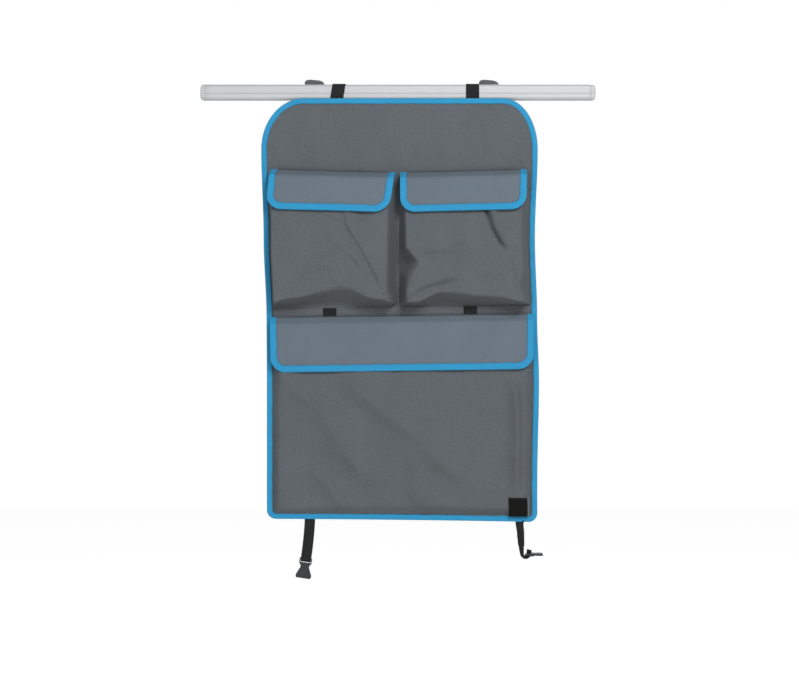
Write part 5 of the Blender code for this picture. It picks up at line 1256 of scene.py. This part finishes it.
def build_seam(sizes):
    """A sewn band above the large flap, with a folded webbing tab sewn in at each side."""
    left, right = (side_x(side, np.array(LARGE_SEAM_Z)) - side * BESIDE_BINDING for side in (-1, 1))
    u, v = grid(14, 160)
    x = left + (right - left) * u
    front = PANEL_FRONT - GAP - TAPE_CLOTH
    band_points = stack(x, front, seam_at(2, x) + SEAM_ABOVE - (SEAM_ABOVE + SEAM_BELOW) * v)
    band = cloth("seam_band_cloth", band_points, TAPE_CLOTH, BODY_CLOTH)
    settle(band, "panel", "body_cloth", "seam_band")
    x = np.linspace(left + BAND_ROW_SHORT, right - BAND_ROW_SHORT, 400)
    thread = stitches("seam_band_stitches", [flat_row(x, front, seam_at(2, x) + BAND_ROW_RISE)], sizes, "body_cloth")
    rear = front - GAP - SEAM_TAB_CLOTH / 2
    radius = (SEAM_TAB_CLOTH + GAP) / 2
    turn = np.linspace(0, math.pi, 13)
    y = np.concatenate([np.full(8, rear), rear - radius * (1 - np.cos(turn)), np.full(8, rear - 2 * radius)])
    for name, x in SEAM_TABS:
        low = seam_at(2, x) + SEAM_TAB_LIFT
        top = low + SEAM_TAB_HEIGHT - radius - SEAM_TAB_CLOTH / 2
        rise = np.linspace(low, top, 9)[:-1]
        line = stack(x, y, np.concatenate([rise, top + radius * np.sin(turn), rise[::-1]]))
        tab = webbing("seam_tab_webbing_" + name, line, (1.0, 0.0, 0.0), SEAM_TAB_WIDTH, SEAM_TAB_CLOTH)
        settle(tab, "panel", "webbing", "seam_tab_" + name)
        across = np.linspace(x - TAB_ROW_HALF, x + TAB_ROW_HALF, 30)
        row = flat_row(across, rear - 2 * radius - SEAM_TAB_CLOTH / 2, low + TAB_ROW_RISE)
        stitches("seam_tab_stitches_" + name, [row], sizes, "webbing")


def build_label(sizes):
    """The label hangs on the large pocket from a row of stitches at its top, and bends back over the floor."""
    large = pockets()["large"]
    right = float(side_x(1, np.array(LARGE_BOTTOM_Z))) - LABEL_INSET
    low = LARGE_BOTTOM_Z - LABEL_BELOW
    u, v = grid(24, 28)
    z = low + LABEL_HEIGHT * (1 - v)
    behind = large.depth(right - LABEL_WIDTH * u, z, sizes.rumple)
    y = POCKET_REAR - behind.max() * (1 - 0.55 * smooth((v - 0.35) / 0.65)) - GAP - LABEL_CLOTH
    x = right - LABEL_WIDTH * (1 - u) + LABEL_SLANT * (z - low)
    points = stack(x, y - LABEL_BOW * np.sin(math.pi * u) * smooth(v * 1.5), z)
    label = cloth("label_cloth", points, LABEL_CLOTH, "Satin label cloth")
    settle(label, "panel", "webbing", "label")
    x = np.linspace(right - LABEL_WIDTH + LABEL_ROW_LEFT, right - LABEL_ROW_RIGHT, 40)
    row = flat_row(x, y[0, 0], low + LABEL_HEIGHT - LABEL_ROW_DOWN)
    thread = stitches("label_stitches", [row], sizes, "webbing")


# Bottom straps


def pivot_z(x):
    """Where a bottom strap bends: just below a straight line along the panel's lower edge."""
    left, right = side_x(-1, PANEL_BOTTOM), side_x(1, PANEL_BOTTOM)
    return float(PANEL_BOTTOM - DROP_RIGHT * (x - left) / (right - left) - BINDING_CLOTH - GAP - PIVOT_DOWN)


def bottom_strap(name, line, side, bends=0.0, swells=1.0):
    """A bottom strap's webbing, made in place of its strap and anchor nodes."""
    strap = webbing("bottom_webbing_" + name, line, side, STRAP_WIDTH, STRAP_THICKNESS, bends, swells)
    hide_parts("bottom_strap_" + name, "bottom_anchor_" + name)
    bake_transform(strap)


def build_left_strap():
    """One webbing: down behind the binding, down with a curl to the left, round the socket's bar and up again."""
    radius = BAR_REACH + GAP + STRAP_THICKNESS / 2
    pivot, bar_down = pivot_z(LEFT_STRAP_X), LEFT_STRAP_LENGTH
    bar_y, sewn_y = STRAP_Y + radius, STRAP_Y + STRAP_THICKNESS + GAP
    turn = np.linspace(0, math.pi, 25)
    y = np.concatenate([[STRAP_Y, STRAP_Y], bar_y - radius * np.cos(turn), [bar_y + radius * 0.7, sewn_y, sewn_y]])
    down = np.concatenate(
        [[-STRAP_ANCHOR, 0.0], bar_down + (radius + LEFT_SLACK) * np.sin(turn),
         [bar_down - TAIL_LEAVES, bar_down - TAIL_FLAT, bar_down - LEFT_TAIL]]
    )
    y, down = even(np.stack([y, down], -1), LINE_STEP).T
    below = np.maximum(down, 0)
    x = LEFT_STRAP_X - LEFT_LEAN * below - LEFT_CURL * below**2
    angle = np.arctan(LEFT_LEAN + 2 * LEFT_CURL * np.minimum(below, bar_down)) * smooth((down + 0.001) / 0.004)
    side = stack(np.cos(angle), 0.0, -np.sin(angle))
    bottom_strap("left", stack(x, y, pivot - down), side)


def build_right_strap():
    """One webbing that turns edge-on as it hangs, loops under the plug's bar and ends standing up."""
    radius, pivot, loop_down = RIGHT_LOOP, pivot_z(RIGHT_STRAP_X), RIGHT_STRAP_LENGTH
    run_x = RIGHT_STRAP_X + RIGHT_SHIFTS[-1][1]
    fall = np.linspace(-STRAP_ANCHOR, loop_down, 80)[:-1]
    turn = np.linspace(0, math.pi, 25)
    x = np.concatenate(
        [RIGHT_STRAP_X + read_off(RIGHT_SHIFTS, fall), run_x + radius - radius * np.cos(turn),
         [run_x + 2 * radius]]
    )
    down = np.concatenate([fall, loop_down + LOOP_DROP * np.sin(turn), [loop_down - RIGHT_TAIL]])
    x, down = even(np.stack([x, down], -1), 0.0010).T
    low, number = int(down.argmax()), np.arange(len(down))
    fallen = np.where(number < low, down, down[low])
    freed = smooth(((number - low) / (len(down) - 1 - low) - 0.1) / 0.5)
    angle = np.radians(read_off(RIGHT_TURNS, fallen)) - TAIL_TURN * freed
    side = stack(np.cos(angle), -np.sin(angle), 0.0)
    bends = read_off(RIGHT_ROLLS, fallen) / STRAP_WIDTH
    swells = 1 + RIGHT_SWELL * smooth((fallen - BUNCHED_FROM) / BUNCHED_OVER)
    bottom_strap("right", stack(x, STRAP_Y, pivot - down), side, bends, swells)


def build_buckle():
    """Each moulded half is its solid with merged faces and its edges rounded as a mould leaves them."""
    for node, name, body in (
        ("buckle_socket", "socket_moulding", "socket"), ("buckle_plug", "plug_moulding", "plug")
    ):
        shape = bmesh.new()
        shape.from_mesh(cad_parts[node].data)
        bmesh.ops.remove_doubles(shape, verts=shape.verts, dist=1e-6)
        bmesh.ops.dissolve_limit(shape, angle_limit=math.radians(1), verts=shape.verts, edges=shape.edges)
        mesh = bpy.data.meshes.new(name)
        shape.to_mesh(mesh)
        shape.free()
        mesh.shade_smooth()
        mesh.materials.clear()
        mesh.materials.append(bpy.data.materials["Acetal buckle moulding"])
        made = linked(name, mesh)
        bevel = made.modifiers.new("Mould radius", "BEVEL")
        bevel.width, bevel.segments, bevel.limit_method = MOULD_RADIUS, 3, "ANGLE"
        bevel.angle_limit, bevel.harden_normals = math.radians(25), True
        settle(made, body, "buckle", node)


# Stage


def white_to(tree, value_away, value_seen):
    """A value for rays that light the object, and another for what the camera, gloss and glass see."""
    rays = add(tree, "LightPath").outputs
    seen = rays["Is Camera Ray"]
    for ray in ("Is Glossy Ray", "Is Transmission Ray"):
        seen = add(tree, "Math", {0: seen, 1: rays[ray]}, operation="MAXIMUM").outputs[0]
    inputs = {0: seen, 1: value_seen - value_away, 2: value_away}
    return add(tree, "Math", inputs, operation="MULTIPLY_ADD").outputs[0]


def lamp(name, place, size, power, target):
    """A round lamp that points at its target."""
    data = bpy.data.lights.new(name, "AREA")
    data.shape, data.size, data.energy = "DISK", size, power
    made = linked(name, data)
    made.location = place
    made.rotation_euler = (Vector(target) - Vector(place)).to_track_quat("-Z", "Y").to_euler()


def build_stage(sizes, colours):
    """White world, pale floor far below, three soft lamps and the camera."""
    scene = bpy.context.scene
    world = bpy.data.worlds.new("Pale room")
    scene.world = world
    world.use_nodes = True
    tree = world.node_tree
    tree.nodes.clear()
    shine = add(tree, "Background", {"Color": (1.0, 1.0, 1.0, 1.0), "Strength": white_to(tree, ROOM_LIGHT, 1.0)})
    add(tree, "OutputWorld", {"Surface": shine.outputs[0]})

    tree = new_finish("Painted floor")
    diffuse = add(tree, "BsdfDiffuse", {"Color": (*colours.floor, 1.0)})
    glow = add(tree, "Emission", {"Color": (1.0, 1.0, 1.0, 1.0), "Strength": white_to(tree, 0.0, FLOOR_GLOW)})
    both = add(tree, "AddShader", {0: diffuse.outputs[0], 1: glow.outputs[0]})
    add(tree, "OutputMaterial", {"Surface": both.outputs[0]})
    u, v = grid(2, 2)
    points = stack(FLOOR_WIDTH * (u - 0.5), FLOOR_WIDTH * (0.5 - v), -sizes.floor_drop).reshape(-1, 3)
    faces = quads(2, 2)[0][:, ::-1]
    floor = piece("floor", points, [(faces, points[faces][..., :2], False)], "Painted floor")

    for values in LAMPS:
        lamp(*values, (0.0, 0.0, -sizes.view_centre))

    data = bpy.data.cameras.new("Camera")
    data.sensor_width = 36.0
    data.lens = 36.0 * sizes.distance / sizes.view_width
    data.clip_end = 100.0
    camera = linked("Camera", data)
    camera.location = (0.0, PANEL_FRONT - sizes.distance, -sizes.view_centre)
    camera.rotation_euler = (math.pi / 2, 0.0, 0.0)
    scene.camera = camera
    scene.view_settings.view_transform = "Standard"


# Operators


class ORGANIZER_OT_finishes(bpy.types.Operator):
    """Make the finishes of all the pieces"""

    bl_idname = "organizer.finishes"
    bl_label = "Finishes"

    def execute(self, context):
        build_finishes(context.scene.organizer_sizes, context.scene.organizer_colours)
        return {"FINISHED"}


class ORGANIZER_OT_stage(bpy.types.Operator):
    """Set up the room, the lamps and the camera"""

    bl_idname = "organizer.stage"
    bl_label = "Stage"

    def execute(self, context):
        build_stage(context.scene.organizer_sizes, context.scene.organizer_colours)
        return {"FINISHED"}


class ORGANIZER_OT_rail(bpy.types.Operator):
    """Build the rail and its two caps"""

    bl_idname = "organizer.rail"
    bl_label = "Rail"

    def execute(self, context):
        build_rail(context.scene.organizer_sizes)
        return {"FINISHED"}


class ORGANIZER_OT_loops(bpy.types.Operator):
    """Build the webbing loops and the cloth tabs that hold the panel on the rail"""

    bl_idname = "organizer.loops"
    bl_label = "Loops and tabs"

    def execute(self, context):
        build_loops(context.scene.organizer_sizes)
        build_tabs()
        return {"FINISHED"}


class ORGANIZER_OT_panel(bpy.types.Operator):
    """Build the back cloth and the binding round it"""

    bl_idname = "organizer.panel"
    bl_label = "Panel"

    def execute(self, context):
        build_panel(context.scene.organizer_sizes)
        return {"FINISHED"}


class ORGANIZER_OT_pockets(bpy.types.Operator):
    """Build the three pockets with their hems and loop tapes"""

    bl_idname = "organizer.pockets"
    bl_label = "Pockets"

    def execute(self, context):
        build_pockets(context.scene.organizer_sizes)
        return {"FINISHED"}


class ORGANIZER_OT_flaps(bpy.types.Operator):
    """Build the three bound flaps with their hook tapes"""

    bl_idname = "organizer.flaps"
    bl_label = "Flaps"

    def execute(self, context):
        build_flaps(context.scene.organizer_sizes)
        return {"FINISHED"}


class ORGANIZER_OT_seam(bpy.types.Operator):
    """Build the seam band with its tabs, and the label"""

    bl_idname = "organizer.seam"
    bl_label = "Seam band and label"

    def execute(self, context):
        build_seam(context.scene.organizer_sizes)
        build_label(context.scene.organizer_sizes)
        return {"FINISHED"}


class ORGANIZER_OT_straps(bpy.types.Operator):
    """Build the bottom straps and finish the buckle's halves"""

    bl_idname = "organizer.straps"
    bl_label = "Bottom straps"

    def execute(self, context):
        build_left_strap()
        build_right_strap()
        build_buckle()
        return {"FINISHED"}


OPERATORS = (
    ORGANIZER_OT_finishes,
    ORGANIZER_OT_stage,
    ORGANIZER_OT_rail,
    ORGANIZER_OT_loops,
    ORGANIZER_OT_panel,
    ORGANIZER_OT_pockets,
    ORGANIZER_OT_flaps,
    ORGANIZER_OT_seam,
    ORGANIZER_OT_straps,
)


class ORGANIZER_PT_panel(bpy.types.Panel):
    bl_idname = "ORGANIZER_PT_panel"
    bl_label = "Tent Organizer"
    bl_space_type = "VIEW_3D"
    bl_region_type = "UI"
    bl_category = "Organizer"

    def draw(self, context):
        for kind in OPERATORS:
            self.layout.operator(kind.bl_idname)
        for values in (context.scene.organizer_sizes, context.scene.organizer_colours):
            for key in values.__annotations__:
                self.layout.prop(values, key)


CLASSES = (OrganizerSizes, OrganizerColours, *OPERATORS, ORGANIZER_PT_panel)


def register():
    for kind in CLASSES:
        bpy.utils.register_class(kind)
    bpy.types.Scene.organizer_sizes = PointerProperty(type=OrganizerSizes)
    bpy.types.Scene.organizer_colours = PointerProperty(type=OrganizerColours)


def unregister():
    del bpy.types.Scene.organizer_colours
    del bpy.types.Scene.organizer_sizes
    for kind in reversed(CLASSES):
        bpy.utils.unregister_class(kind)


def main():
    register()
    for step in ("finishes", "stage", "rail", "loops", "panel", "pockets", "flaps", "seam", "straps"):
        getattr(bpy.ops.organizer, step)()


if __name__ == "__main__":
    main()
